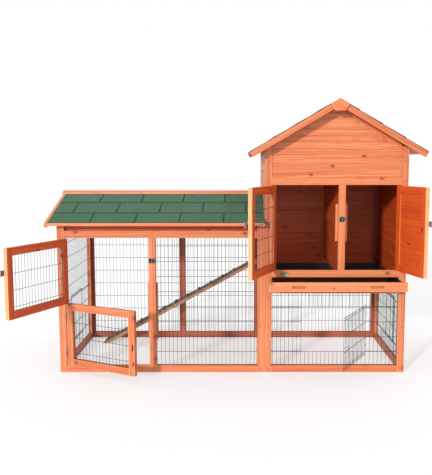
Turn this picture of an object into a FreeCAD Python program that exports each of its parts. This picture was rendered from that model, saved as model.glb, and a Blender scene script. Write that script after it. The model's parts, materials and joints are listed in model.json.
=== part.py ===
"""Two-storey timber rabbit hutch with an attached low run, as a parametric document.

Lengths are millimetres. The hutch is laid out from the outer front corner of the run's left post:
x runs to the right along the front, y runs back into the hutch and z runs up from the ground.
The finished nodes are moved so that the row's origin is the middle of the footprint at ground
level. Doors, tray and wire doors are placed open, as the rest pose.
"""
import FreeCAD, Part
import Sketcher
import math
import os
import re

Vector = FreeCAD.Vector
Rotation = FreeCAD.Rotation
Placement = FreeCAD.Placement

DIMENSIONS = {
    # overall frame
    "frame_length": 1715.0,
    "frame_depth": 700.0,
    "run_length": 1018.0,
    "batten_width": 35.0,
    "batten_thickness": 20.0,
    # run front
    "mid_stile_x": 447.0,
    "top_rail_z": 676.0,
    "run_post_height": 757.0,
    "door_split_z": 352.0,
    "back_stile_x": 540.0,
    "stop_width": 47.0,
    "stop_thickness": 14.0,
    "stop_height": 285.0,
    # run roof
    "run_eave_overhang": 50.0,
    "run_eave_top_z": 755.0,
    "run_ridge_top_z": 884.0,
    "run_side_overhang": 31.0,
    "board_thickness": 10.0,
    "felt_thickness": 2.5,
    "trim_thickness": 12.0,
    # house
    "tray_rail_z": 400.0,
    "sill_rail_z": 481.0,
    "header_rail_z": 935.0,
    "seam_z": 1067.0,
    "centre_stile_x": 1378.0,
    "centre_stile_width": 34.0,
    "house_pitch_deg": 30.4,
    "house_apex_z": 1340.0,
    "house_half_span": 423.0,
    "rake_front_overhang": 75.0,
    "rake_width": 27.0,
    "rake_thickness": 15.0,
    "ramp_doorway_width": 150.0,
    "ramp_doorway_top_z": 760.0,
    # doors
    "door_gap": 2.0,
    "hinge_gap": 2.2,
    "hinge_barrel_radius": 2.8,
    "hinge_pin_radius": 1.2,
    "hinge_height": 48.0,
    "leaf_thickness": 0.9,
    "run_upper_open_deg": 115.0,
    "run_lower_open_deg": 27.4,
    "house_left_open_deg": 112.6,
    "house_right_open_deg": 105.8,
    # tray
    "tray_front_width": 662.0,
    "tray_front_height": 45.0,
    "tray_front_thickness": 12.0,
    "tray_wall": 3.0,
    "tray_pan_height": 36.0,
    "tray_pan_depth": 640.0,
    "tray_pulled_out": 103.0,
    "finger_slot_length": 66.0,
    "finger_slot_height": 12.0,
    "finger_slot_depth": 7.0,
    "finger_slot_offset": 186.5,
    # wire
    "wire_size": 2.0,
    "mesh_column_pitch": 20.2,
    "mesh_row_pitch": 76.0,
    "mesh_first_row_z": 102.0,
    "wire_door_width": 322.0,
    "wire_door_open_deg": 62.0,
    "loop_radius": 2.2,
    "loop_height": 8.0,
    # ramp
    "ramp_width": 125.0,
    "ramp_thickness": 16.0,
    "ramp_foot_x": 104.0,
    "ramp_head_x": 1010.0,
    "ramp_slope": 0.549,
    "cleat_width": 12.0,
    "cleat_height": 6.0,
    "ramp_pin_radius": 2.0,
    "ramp_bracket": 2.5,
}

SHEET_NAME = "Dimensions"
BOARD_JOINT = 1.0
TURNING_CLEARANCE = 0.1


def bound(text):
    """Turn words that are sheet aliases into references to the sheet."""
    def reference(match):
        word = match.group()
        return f"{SHEET_NAME}.{word}" if word in DIMENSIONS else word
    return re.sub(r"[a-z_]+", reference, text)


def make_sheet(document):
    sheet = document.addObject("Spreadsheet::Sheet", SHEET_NAME)
    for row, (alias, size) in enumerate(DIMENSIONS.items(), start=1):
        sheet.set(f"A{row}", alias)
        sheet.set(f"B{row}", str(size))
        sheet.setAlias(f"B{row}", alias)
    document.recompute()
    return sheet


doc = FreeCAD.newDocument("rabbit_hutch")
sheet = make_sheet(doc)


class Sizes:
    """The sheet's values by name, for places and outlines."""


d = Sizes()
for alias in DIMENSIONS:
    setattr(d, alias, float(sheet.get(alias)))

nodes = {}


# ---------------------------------------------------------------- building blocks

def set_size(item, name, size):
    """Bind one size property to an expression on the sheet."""
    item.setExpression(name, bound(size))


def box(length, width, height, at):
    """A square-cut piece of timber: three sizes along x, y and z, from its low corner."""
    piece = doc.addObject("Part::Box", "Piece")
    set_size(piece, "Length", length)
    set_size(piece, "Width", width)
    set_size(piece, "Height", height)
    piece.Placement = Placement(Vector(*at), Rotation())
    return piece


def prism(points, direction, length):
    """A closed outline pushed a length along a direction."""
    outline = doc.addObject("Part::Polygon", "Outline")
    outline.Nodes = [Vector(*point) for point in points]
    outline.Close = True
    piece = doc.addObject("Part::Extrusion", "Piece")
    piece.Base = outline
    piece.DirMode = "Custom"
    piece.Dir = Vector(*direction)
    piece.Solid = True
    set_size(piece, "LengthFwd", length)
    return piece


def cylinder(radius, height, at, axis=(0, 0, 1)):
    piece = doc.addObject("Part::Cylinder", "Round")
    set_size(piece, "Radius", radius)
    set_size(piece, "Height", height)
    piece.Placement = Placement(Vector(*at), Rotation(Vector(0, 0, 1), Vector(*axis)))
    return piece


def fuse(pieces):
    joined = doc.addObject("Part::MultiFuse", "Joined")
    joined.Shapes = pieces
    return joined


def cut(base, tool):
    result = doc.addObject("Part::Cut", "Cut")
    result.Base = base
    result.Tool = tool
    return result


def node(name, pieces, placement=None):
    """Name a sub-part: one object, or a group of separate solids."""
    if len(pieces) == 1:
        item = pieces[0]
    else:
        item = doc.addObject("Part::Compound", name)
        item.Links = pieces
    item.Label = name
    if placement is not None:
        item.Placement = placement.multiply(item.Placement)
    nodes[name] = item
    return item


def wire_lines(first, pitch, low, high):
    """Wire centre lines at an even pitch that lie well inside a span."""
    lines = []
    position = first
    while position < high - 2 * d.wire_size:
        if position > low + 2 * d.wire_size:
            lines.append(position)
        position += pitch
    return lines


def mesh_panel(low, high, columns, rows, to_world):
    """A flat welded-wire panel: a thin sheet with one rectangular hole per mesh opening.

    low and high are the panel's corners in its own plane; columns and rows are wire centre
    lines between them; to_world places the sheet, whose thickness runs along its own z.
    """
    half = d.wire_size / 2
    across = [low[0] + half] + columns + [high[0] - half]
    upward = [low[1] + half] + rows + [high[1] - half]

    def rectangle(left, bottom, right, top):
        corners = [(left, bottom), (right, bottom), (right, top), (left, top), (left, bottom)]
        return Part.makePolygon([Vector(x, y, 0) for x, y in corners])

    outlines = [rectangle(low[0], low[1], high[0], high[1])]
    for left, right in zip(across, across[1:]):
        for bottom, top in zip(upward, upward[1:]):
            outlines.append(rectangle(left + half, bottom + half, right - half, top - half))
    sheet_face = Part.makeFace(outlines, "Part::FaceMakerBullseye")
    piece = doc.addObject("Part::Feature", "Mesh")
    piece.Shape = sheet_face.extrude(Vector(0, 0, d.wire_size))
    piece.Placement = to_world
    return piece


# Panels that face the front (x across, z up) and panels that face the side (y across, z up).
def facing_front(y):
    return Placement(Vector(0, y + d.wire_size, 0), Rotation(Vector(1, 0, 0), 90))


def facing_side(x):
    return Placement(Vector(x, 0, 0),
                     Rotation(Vector(0, 1, 0), Vector(0, 0, 1), Vector(1, 0, 0), "XYZ"))


def panel_with_doorway(low, high, door_low, door_high, columns, rows, to_world):
    """A mesh panel left open at a doorway: strips under and over it, and one at each side."""
    half = d.wire_size / 2
    spans = (
        (low, (high[0], door_low[1] + half)),
        ((low[0], door_high[1] - half), high),
        ((low[0], door_low[1] + half), (door_low[0] + half, door_high[1] - half)),
        ((door_high[0] - half, door_low[1] + half), (high[0], door_high[1] - half)),
    )
    pieces = []
    for near, far in spans:
        inner_columns = [c for c in columns if near[0] + 4 < c < far[0] - 4]
        inner_rows = [r for r in rows if near[1] + 4 < r < far[1] - 4]
        pieces.append(mesh_panel(near, far, inner_columns, inner_rows, to_world))
    return pieces


# ---------------------------------------------------------------- places worked out once

batten = d.batten_width
thick = d.batten_thickness
right_post_x = d.frame_length - batten
run_right_stile_x = d.run_length - batten
house_inner_x = d.run_length + batten
house_centre_x = (d.run_length + d.frame_length) / 2
sill_top_z = d.sill_rail_z + batten
back_frame_y = d.frame_depth - thick
mesh_y = 15.0
end_mesh_x = 9.0
mesh_rows = wire_lines(d.mesh_first_row_z, d.mesh_row_pitch, batten, d.top_rail_z)

run_slope = (d.run_ridge_top_z - d.run_eave_top_z) / (d.frame_depth / 2 + d.run_eave_overhang)
run_lean = math.sqrt(1 + run_slope ** 2)
house_slope = math.tan(math.radians(d.house_pitch_deg))
house_lean = math.sqrt(1 + house_slope ** 2)


def run_roof_top(y):
    """Height of the felt on the run's roof at a depth."""
    half_depth = d.frame_depth / 2
    return d.run_ridge_top_z - abs(y - half_depth) * run_slope


def run_roof_underside(y):
    return run_roof_top(y) - (d.board_thickness + d.felt_thickness) * run_lean


def house_roof_top(x):
    """Height of the house's roof boards at a place across the front."""
    return d.house_apex_z - abs(x - house_centre_x) * house_slope


def house_roof_underside(x):
    return house_roof_top(x) - d.board_thickness * house_lean


# ---------------------------------------------------------------- run frame

def make_run_frame():
    post = ("batten_width", "batten_thickness", "run_post_height")
    node("run_front_stiles", [
        box(*post, (0, 0, 0)),
        box("batten_width", "batten_thickness", "top_rail_z - batten_width",
            (d.mid_stile_x, 0, batten)),
        box(*post, (run_right_stile_x, 0, 0)),
    ])
    rail = ("run_length - 2 * batten_width", "batten_thickness", "batten_width")
    node("run_front_rails", [box(*rail, (batten, 0, 0)), box(*rail, (batten, 0, d.top_rail_z))])
    node("run_back_frame", [
        box(*post, (0, back_frame_y, 0)),
        box(*post, (run_right_stile_x, back_frame_y, 0)),
        box(*rail, (batten, back_frame_y, 0)),
        box(*rail, (batten, back_frame_y, d.top_rail_z)),
        box("batten_width", "batten_thickness", "top_rail_z - batten_width",
            (d.back_stile_x, back_frame_y, batten)),
    ])
    end_post = ("batten_thickness", "batten_width", "run_post_height")
    end_rail = ("batten_thickness", "frame_depth - 2 * batten_thickness - 2 * batten_width",
                "batten_width")
    node("left_end_frame", [
        box(*end_post, (0, thick, 0)),
        box(*end_post, (0, back_frame_y - batten, 0)),
        box(*end_rail, (0, thick + batten, 0)),
        box(*end_rail, (0, thick + batten, d.top_rail_z)),
    ])


def make_door_stops():
    """Battens behind the stiles that the inset doors close against."""
    lap = 6.0
    wider = 10.0
    shorter = 102.0
    run_stop_z = 165.0
    house_stop_z = 658.0
    house_stop_x = d.centre_stile_x + (d.centre_stile_width - d.stop_width - wider) / 2
    node("door_stops", [
        box("stop_width", "stop_thickness", "stop_height",
            (d.mid_stile_x - lap, thick, run_stop_z)),
        box(f"stop_width + {wider}", "stop_thickness", f"stop_height - {shorter}",
            (house_stop_x, thick, house_stop_z)),
    ])


# ---------------------------------------------------------------- run roof

def slope_strip(side, near_y, far_y, top_offset, depth, x, length):
    """A plank that follows one slope of the run's roof, with plumb-cut ends.

    side is -1 for the front slope and 1 for the back one; the depths are measured from the
    ridge line, and top_offset and depth are measured straight down from the felt.
    """
    ridge_y = d.frame_depth / 2
    near = ridge_y + side * near_y
    far = ridge_y + side * far_y
    points = [
        (x, near, run_roof_top(near) - top_offset),
        (x, far, run_roof_top(far) - top_offset),
        (x, far, run_roof_top(far) - top_offset - depth),
        (x, near, run_roof_top(near) - top_offset - depth),
    ]
    return prism(points, (1, 0, 0), length)


def make_run_roof():
    eave = d.frame_depth / 2 + d.run_eave_overhang
    felt_depth = d.felt_thickness * run_lean
    board_depth = d.board_thickness * run_lean
    left_x = -d.run_side_overhang
    length = "run_length + run_side_overhang"
    both = (-1, 1)
    node("run_roof_boards",
         [slope_strip(side, 0, eave, felt_depth, board_depth, left_x, length) for side in both])
    node("run_roof_felt",
         [slope_strip(side, 0, eave, 0, felt_depth, left_x, length) for side in both])

    cap_width = 28.0
    cap_depth = 10.0
    cap_overhang = 4.0
    cap_x = left_x - d.rake_thickness - cap_overhang
    node("run_ridge_cap",
         [slope_strip(side, 0, cap_width, -cap_depth, cap_depth, cap_x,
                      f"{length} + rake_thickness + {cap_overhang}") for side in both])

    strip_width = 8.0
    strip_height = 14.0
    strip_z = d.run_eave_top_z - strip_height - 1
    rake_depth = 21.0
    rake_reach = eave + strip_width
    trims = [slope_strip(side, 0, rake_reach, 0, rake_depth, left_x - d.rake_thickness,
                         "rake_thickness") for side in both]
    for strip_y in (-d.run_eave_overhang - strip_width, d.frame_depth + d.run_eave_overhang):
        trims.append(box(length, f"{strip_width}", f"{strip_height}", (left_x, strip_y, strip_z)))
    node("run_roof_trims", trims)

    plate_z = 700.0
    plate_depth = 12.0
    plate_height = 60.0
    beam_x = 31.0
    beam_y = d.frame_depth / 2 - thick / 2
    beam_z = run_roof_underside(beam_y) - 2 - batten
    plate = ("run_length - 2 * batten_width", f"{plate_depth}", f"{plate_height}")
    node("run_roof_bearers", [
        box(*plate, (batten, thick, plate_z)),
        box(*plate, (batten, back_frame_y - plate_depth, plate_z)),
        box(f"run_length - {beam_x}", "batten_thickness", "batten_width",
            (beam_x, beam_y, beam_z)),
    ])

    board_x = thick
    low_z = 690.0
    shoulder_z = run_roof_underside(batten) - 2
    node("run_gable_board", [prism([
        (board_x, batten, low_z),
        (board_x, d.frame_depth - batten, low_z),
        (board_x, d.frame_depth - batten, shoulder_z),
        (board_x, d.frame_depth / 2, run_roof_underside(d.frame_depth / 2) - 2),
        (board_x, batten, shoulder_z),
    ], (1, 0, 0), "board_thickness")])


# ---------------------------------------------------------------- wire mesh

end_door_near_y = 220.0
end_door_columns = 12
lower_door_columns = 16
wire_hinge_gap = 2.5
lower_column_x = house_inner_x + 7.0
lower_door_x = lower_column_x + 7 * d.mesh_column_pitch
doorway_low_z = d.mesh_first_row_z
doorway_high_z = d.mesh_first_row_z + 3 * d.mesh_row_pitch


def hinge_loops(pivot_x, pivot_y, towards_mesh):
    """Two wire loops that hold a wire door's round edge, each with a tail to the mesh.

    towards_mesh is the unit step, across or back, from the pivot to the mesh's near face.
    """
    tail = 1.0
    step_x, step_y = towards_mesh
    face_x = pivot_x + step_x * wire_hinge_gap
    face_y = pivot_y + step_y * wire_hinge_gap
    loops = []
    for z in (doorway_low_z + 30, doorway_high_z - 30 - d.loop_height):
        ring = cylinder("loop_radius", "loop_height", (pivot_x, pivot_y, z))
        low_x = min(face_x, face_x - step_x * tail) - abs(step_y)
        low_y = min(face_y, face_y - step_y * tail) - abs(step_x)
        link = box(f"{abs(step_x) * tail + abs(step_y) * d.wire_size}",
                   f"{abs(step_y) * tail + abs(step_x) * d.wire_size}",
                   "loop_height", (low_x, low_y, z))
        bore = cylinder(f"wire_size / 2 + {TURNING_CLEARANCE}", "loop_height",
                        (pivot_x, pivot_y, z))
        loops.append(cut(fuse([ring, link]), bore))
    return loops


def make_meshes():
    first_column_x = d.mid_stile_x + batten + 22.2
    pitch = d.mesh_column_pitch
    front_columns = wire_lines(first_column_x, pitch, d.mid_stile_x + batten, run_right_stile_x)
    node("run_front_mesh", [mesh_panel(
        (d.mid_stile_x + batten, batten), (run_right_stile_x, d.top_rail_z),
        front_columns, mesh_rows, facing_front(mesh_y))])

    back_bays = (
        (batten, d.back_stile_x, d.top_rail_z),
        (d.back_stile_x + batten, run_right_stile_x, d.top_rail_z),
        (house_inner_x, right_post_x, d.tray_rail_z),
    )
    back_panels = []
    for left, right, top in back_bays:
        columns = wire_lines(left + 12, pitch, left, right)
        rows = [z for z in mesh_rows if z < top - 10]
        back_panels.append(mesh_panel((left, batten), (right, top), columns, rows,
                                      facing_front(back_frame_y + 3)))
    node("back_mesh", back_panels)

    near_y = thick + batten
    far_y = back_frame_y - batten
    end_columns = wire_lines(end_door_near_y - 7 * pitch, pitch, near_y, far_y)
    doorway = ((end_door_near_y, doorway_low_z),
               (end_door_near_y + end_door_columns * pitch, doorway_high_z))
    node("left_end_mesh", panel_with_doorway(
        (near_y, batten), (far_y, d.top_rail_z), *doorway, end_columns, mesh_rows,
        facing_side(end_mesh_x)) + hinge_loops(end_mesh_x - wire_hinge_gap, end_door_near_y, (1, 0)))
    lower_rows = [z for z in mesh_rows if z < d.tray_rail_z - 10]
    right_mesh_x = d.frame_length - end_mesh_x
    node("right_end_mesh", panel_with_doorway(
        (near_y, batten), (far_y, d.tray_rail_z), *doorway, end_columns, lower_rows,
        facing_side(right_mesh_x - d.wire_size)) + hinge_loops(
            right_mesh_x + wire_hinge_gap, doorway[1][0], (-1, 0)))

    lower_columns = wire_lines(lower_column_x, pitch, house_inner_x, right_post_x)
    lower_doorway = ((lower_door_x, doorway_low_z),
                     (lower_door_x + lower_door_columns * pitch, doorway_high_z))
    node("lower_front_mesh", panel_with_doorway(
        (house_inner_x, batten), (right_post_x, d.tray_rail_z), *lower_doorway,
        lower_columns, lower_rows, facing_front(mesh_y)) + hinge_loops(
            lower_doorway[1][0], mesh_y - wire_hinge_gap, (0, 1)))


# ---------------------------------------------------------------- house frame and walls

def make_house_frame():
    post_top_z = house_roof_underside(d.run_length) - 2
    lower_post = ("batten_width", "batten_thickness", "seam_z - 1")
    upper_post = ("batten_width", "batten_thickness", f"{post_top_z - d.seam_z:.1f}")

    def posts(y):
        pieces = []
        for x in (d.run_length, right_post_x):
            pieces.append(box(*lower_post, (x, y, 0)))
            pieces.append(box(*upper_post, (x, y, d.seam_z)))
        return pieces

    def rails(y, heights):
        length = "frame_length - run_length - 2 * batten_width"
        return [box(length, "batten_thickness", "batten_width", (house_inner_x, y, z))
                for z in heights]

    node("house_front_posts", posts(0))
    node("house_front_rails",
         rails(0, (0, d.tray_rail_z, d.sill_rail_z, d.header_rail_z)))
    node("house_back_frame", posts(back_frame_y) + rails(back_frame_y, (0, d.tray_rail_z)))
    node("house_centre_stile", [box("centre_stile_width", "batten_thickness",
                                    "header_rail_z - sill_rail_z - batten_width",
                                    (d.centre_stile_x, 0, sill_top_z))])

    side_post = ("batten_thickness", "batten_width", "tray_rail_z + batten_width")
    side_rail = ("batten_thickness", "frame_depth - 2 * batten_thickness - 2 * batten_width",
                 "batten_width")
    x = d.frame_length - thick
    node("right_end_frame", [
        box(*side_post, (x, thick, 0)),
        box(*side_post, (x, back_frame_y - batten, 0)),
        box(*side_rail, (x, thick + batten, 0)),
        box(*side_rail, (x, thick + batten, d.tray_rail_z)),
    ])
    floor_z = 423.0
    node("house_floor", [
        box("frame_length - run_length - 2 * batten_thickness",
            "frame_depth - 2 * batten_thickness", "board_thickness",
            (d.run_length + thick, thick, floor_z)),
        box("batten_thickness", "frame_depth - 2 * batten_thickness", "batten_width",
            (d.run_length, thick, d.tray_rail_z)),
    ])
    partition_z = 485.0
    partition_y = thick + d.stop_thickness
    node("house_partition", [box("board_thickness",
                                 "frame_depth - 2 * batten_thickness - stop_thickness",
                                 f"seam_z - {partition_z}",
                                 (d.centre_stile_x + 12, partition_y, partition_z))])


def board_edges(low, high, count):
    """Edges of a stack of equal boards between two heights."""
    step = (high - low) / count
    return [low + step * index for index in range(count + 1)]


def gable_stack(levels, y):
    """Boards across the house, cut to the roof's slopes where they reach them."""
    half_wide = (right_post_x - house_inner_x) / 2
    clearance = 2.0
    peak_z = house_roof_underside(house_centre_x) - clearance
    pieces = []
    for low, high in zip(levels, levels[1:]):
        top = min(high - BOARD_JOINT, peak_z)
        low_half = min(half_wide, (peak_z - low) / house_slope)
        top_half = min(half_wide, (peak_z - top) / house_slope)
        corner_z = peak_z - half_wide * house_slope
        right = [(low_half, low)]
        if low_half == half_wide and top_half < half_wide:
            right.append((half_wide, corner_z))
        if top_half > 0:
            right.append((top_half, top))
            left = [(-across, z) for across, z in reversed(right)]
        else:
            left = [(0, top)] + [(-across, z) for across, z in reversed(right)]
        outline = [(house_centre_x + across, y, z) for across, z in right + left]
        pieces.append(prism(outline, (0, 1, 0), "board_thickness"))
    return pieces


def make_house_walls():
    front_levels = [d.header_rail_z + batten, 1007.0, 1037.0, d.seam_z, 1098.0, 1141.0, 1201.0,
                    d.house_apex_z]
    node("house_front_boards", gable_stack(front_levels, 4))
    back_levels = board_edges(d.tray_rail_z + batten, d.house_apex_z, 14)
    node("house_back_boards", gable_stack(back_levels, back_frame_y + 5))

    wall_top_z = house_roof_underside(d.run_length) - 2
    levels = board_edges(d.tray_rail_z + batten, wall_top_z, 11)
    wall_width = "frame_depth - 2 * batten_thickness"
    doorway_near_y = 530.0
    left_wall = []
    right_wall = []
    for low, high in zip(levels, levels[1:]):
        board_height = f"{high - low - BOARD_JOINT:.2f}"
        crosses = low < d.ramp_doorway_top_z - 20 and high > sill_top_z
        reach = f"{doorway_near_y - thick}" if crosses else wall_width
        left_wall.append(box("board_thickness", reach, board_height, (d.run_length, thick, low)))
        right_wall.append(box("board_thickness", wall_width, board_height,
                              (d.frame_length - d.board_thickness, thick, low)))
    node("house_left_wall", left_wall)
    node("house_right_wall", right_wall)


# ---------------------------------------------------------------- house roof

def roof_slope(side, reach, top_offset, depth, y, length):
    """A plank along one slope of the house's roof: plumb at the ridge, square at the eave."""
    tilt = math.radians(d.house_pitch_deg)
    ridge = (0, d.house_apex_z - top_offset * house_lean)
    tip = (reach, ridge[1] - reach * house_slope)
    foot = (tip[0] - depth * math.sin(tilt), tip[1] - depth * math.cos(tilt))
    heel = (0, ridge[1] - depth * house_lean)
    points = [(house_centre_x + side * across, y, z) for across, z in (ridge, tip, foot, heel)]
    return prism(points, (0, 1, 0), length)


def make_house_roof():
    both = (-1, 1)
    front_y = -d.rake_front_overhang
    back_overhang = 60.0
    rake_back_y = d.frame_depth + back_overhang - d.rake_thickness
    board_y = front_y + d.rake_thickness
    deck = f"{rake_back_y - board_y:.1f}"
    cover = f"{d.frame_depth + back_overhang - front_y:.1f}"
    node("house_roof_boards", [roof_slope(side, d.house_half_span, 0, d.board_thickness,
                                          board_y, deck) for side in both])
    node("house_roof_felt", [roof_slope(side, d.house_half_span, -d.felt_thickness,
                                        d.felt_thickness, front_y, cover) for side in both])

    rakes = []
    for y in (front_y, rake_back_y):
        for side in both:
            rakes.append(roof_slope(side, d.house_half_span, 0, d.rake_width, y,
                                    "rake_thickness"))
    block_outline = ((0, 4), (45, -24), (24, -55), (-24, -55), (-45, -24))
    for y in (front_y - d.board_thickness, rake_back_y + d.rake_thickness):
        points = [(house_centre_x + across, y, d.house_apex_z + rise)
                  for across, rise in block_outline]
        rakes.append(prism(points, (0, 1, 0), "board_thickness"))

    trim_depth = 28.0
    half_wide = (right_post_x - house_inner_x) / 2
    peak_z = house_roof_underside(house_centre_x) - 1
    for side in both:
        outline = [(0, peak_z), (half_wide, peak_z - half_wide * house_slope),
                   (half_wide, peak_z - half_wide * house_slope - trim_depth),
                   (0, peak_z - trim_depth)]
        points = [(house_centre_x + side * across, -4, z) for across, z in outline]
        rakes.append(prism(points, (0, 1, 0), "8"))
    node("house_rake_boards", rakes)


# ---------------------------------------------------------------- doors

hinge_y = -d.hinge_barrel_radius - 0.2
hinge_offset = d.hinge_gap / 2
DOOR_THICKNESS = "batten_thickness - 0.5"
door_face = -hinge_y


def door_placement(pin_x, side, open_deg):
    """Turn a door about its hinge pin: side 1 hangs on its left edge, -1 on its right."""
    return Placement(Vector(pin_x, hinge_y, 0), Rotation(Vector(0, 0, 1), -side * open_deg))


def door_frame(side, width, wide, low_z, high_z):
    """Two stiles with two rails between them: width is the sheet's expression, wide its value."""
    height = f"{high_z - low_z}"
    edge = hinge_offset
    pieces = []
    for near_x in (edge, edge + wide - batten):
        x = near_x if side > 0 else -near_x - batten
        pieces.append(box("batten_width", DOOR_THICKNESS, height, (x, door_face, low_z)))
    inner_x = edge + batten if side > 0 else -edge - wide + batten
    for z in (low_z, high_z - batten):
        pieces.append(box(f"{width} - 2 * batten_width", DOOR_THICKNESS, "batten_width",
                          (inner_x, door_face, z)))
    return pieces


def door_mesh(side, wide, low_z, high_z, rows):
    """The mesh inside a door's frame, towards its inner face."""
    near = hinge_offset + batten
    far = hinge_offset + wide - batten
    left, right = (near, far) if side > 0 else (-far, -near)
    columns = wire_lines(left + 13, d.mesh_column_pitch, left, right)
    return mesh_panel((left, low_z + batten), (right, high_z - batten), columns, rows,
                      facing_front(door_face + 12))


def hinge_leaf(side, z, fixed):
    """One leaf of a butt hinge with its knuckles, about the pin at x 0, y 0."""
    knuckle = d.hinge_height / 3
    slack = 0.25
    radius = d.hinge_barrel_radius
    plate_gap = 0.3
    plate_depth = 14.0
    if fixed:
        plate_x = -hinge_offset if side > 0 else hinge_offset - d.leaf_thickness
        spans = ((z, knuckle - slack), (z + 2 * knuckle + slack, knuckle - slack))
        bore = "hinge_pin_radius"
    else:
        plate_x = hinge_offset - d.leaf_thickness if side > 0 else -hinge_offset
        spans = ((z + knuckle, knuckle),)
        bore = "hinge_pin_radius + 0.05"
    plate_y = radius + 0.2 + plate_gap
    pieces = [box("leaf_thickness", f"{plate_depth}", "hinge_height", (plate_x, plate_y, z))]
    for low, height in spans:
        pieces.append(box("leaf_thickness", f"{plate_y + 1}", f"{height}", (plate_x, 0, low)))
        pieces.append(cylinder("hinge_barrel_radius", f"{height}", (0, 0, low)))
    return cut(fuse(pieces), cylinder(bore, "hinge_height", (0, 0, z)))


def hinge_heights(low_z, high_z):
    inset = 45.0
    return (low_z + inset, high_z - inset - d.hinge_height)


def hasp(side, wide, z, reach, layer):
    """A slotted plate on a door's free edge that drops over the stile's turning knob.

    reach is how far the slot lies past the door's edge; layer lifts one plate over another.
    """
    plate = 2.0
    slot_width = 5.0
    slot_height = 15.0
    width = 26.0
    grip = 22.0
    past = 10.0
    edge = hinge_offset + wide
    face = door_face - 2.0 - layer

    def placed(length, depth, height, near_x, y, low):
        x = near_x if side > 0 else -near_x - length
        return box(f"{length}", f"{depth}", f"{height}", (x, y, low))

    strap = placed(grip + reach + past, plate, width, edge - grip, face - plate, z - width / 2)
    slot = placed(slot_width, plate + 2, slot_height, edge + reach - slot_width / 2,
                  face - plate - 1, z - slot_height / 2)
    pad = placed(grip - 2, door_face - face, width, edge - grip, face, z - width / 2)
    return fuse([cut(strap, slot), pad])


def make_door(name, side, pin_x, width, wide, span, open_deg, fill, hasp_place):
    """A framed door with its filling and its hardware, turned open about its pin."""
    turned = door_placement(pin_x, side, open_deg)
    node(f"{name}_frame", door_frame(side, width, wide, *span), turned)
    fill(side, wide, span, turned)
    hardware = [hinge_leaf(side, z, False) for z in hinge_heights(*span)]
    if hasp_place:
        hardware.append(hasp(side, wide, *hasp_place))
    node(f"{name}_hardware", hardware, turned)
    fixed = Placement(Vector(pin_x, hinge_y, 0), Rotation())
    leaves = []
    for z in hinge_heights(*span):
        leaf = hinge_leaf(side, z, True)
        pin = cylinder("hinge_pin_radius", "hinge_height", (0, 0, z))
        for piece in (leaf, pin):
            piece.Placement = fixed.multiply(piece.Placement)
            leaves.append(piece)
    return leaves


run_door_width = "(mid_stile_x - batten_width - hinge_gap - door_gap)"
run_door_wide = d.mid_stile_x - batten - d.hinge_gap - d.door_gap
left_door_width = "(centre_stile_x - run_length - batten_width - hinge_gap - door_gap)"
left_door_wide = d.centre_stile_x - house_inner_x - d.hinge_gap - d.door_gap
right_door_width = ("(frame_length - batten_width - centre_stile_x - centre_stile_width"
                    " - hinge_gap - door_gap)")
right_door_wide = (right_post_x - d.centre_stile_x - d.centre_stile_width
                   - d.hinge_gap - d.door_gap)
run_latch_x = d.mid_stile_x + batten / 2
house_latch_x = d.centre_stile_x + d.centre_stile_width / 2
run_latch_z = 563.0
house_latch_z = 768.0


def make_doors():
    gap = d.door_gap
    upper = (d.door_split_z + gap / 2, d.top_rail_z - gap)
    lower = (batten + gap, d.door_split_z - gap / 2)
    house = (sill_top_z + gap, d.header_rail_z - gap)

    def wire_fill(name, rows):
        def fill(side, wide, span, turned):
            node(name, [door_mesh(side, wide, *span, rows)], turned)
        return fill

    def board_fill(side, wide, span, turned):
        edges = board_edges(span[0] + batten, span[1] - batten, 6)
        length = f"{right_door_width} - 2 * batten_width"
        x = -hinge_offset - wide + batten
        boards = [box(length, "board_thickness", f"{high - low - BOARD_JOINT:.2f}",
                      (x, door_face + 5, low)) for low, high in zip(edges, edges[1:])]
        node("house_right_door_boards", boards, turned)

    def rows_in(span):
        margin = batten + 3 * d.wire_size
        return [z for z in mesh_rows if span[0] + margin < z < span[1] - margin]

    house_rows = [621.0, 690.5, 760.0, 829.5]
    run_reach = run_latch_x - d.mid_stile_x + gap
    left_reach = d.centre_stile_width / 2 + gap
    left_pin = batten + hinge_offset
    house_left_pin = house_inner_x + hinge_offset
    house_right_pin = right_post_x - hinge_offset
    leaves = []
    leaves += make_door("run_upper_door", 1, left_pin, run_door_width, run_door_wide, upper,
                        d.run_upper_open_deg, wire_fill("run_upper_door_mesh", rows_in(upper)),
                        (run_latch_z, run_reach, 0))
    leaves += make_door("run_lower_door", 1, left_pin, run_door_width, run_door_wide, lower,
                        d.run_lower_open_deg, wire_fill("run_lower_door_mesh", rows_in(lower)),
                        None)
    leaves += make_door("house_left_door", 1, house_left_pin, left_door_width, left_door_wide,
                        house, d.house_left_open_deg,
                        wire_fill("house_left_door_mesh", house_rows),
                        (house_latch_z, left_reach, 2.5))
    leaves += make_door("house_right_door", -1, house_right_pin, right_door_width,
                        right_door_wide, house, d.house_right_open_deg, board_fill,
                        (house_latch_z, left_reach, 0))
    node("hinge_frame_leaves", leaves)


# ---------------------------------------------------------------- latches

def knob(x, z, spindle, y_face):
    """A turning knob: a spindle along y with an oblong grip on its front end."""
    grip_length = 13.0
    grip_width = 4.2
    grip_depth = 5.0
    tip_y = y_face - spindle
    return fuse([
        cylinder("2", f"{spindle + 0.5}", (x, tip_y - 0.5, z), (0, 1, 0)),
        box(f"{grip_width}", f"{grip_depth}", f"{grip_length}",
            (x - grip_width / 2, tip_y - grip_depth, z - grip_length / 2)),
    ])


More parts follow.
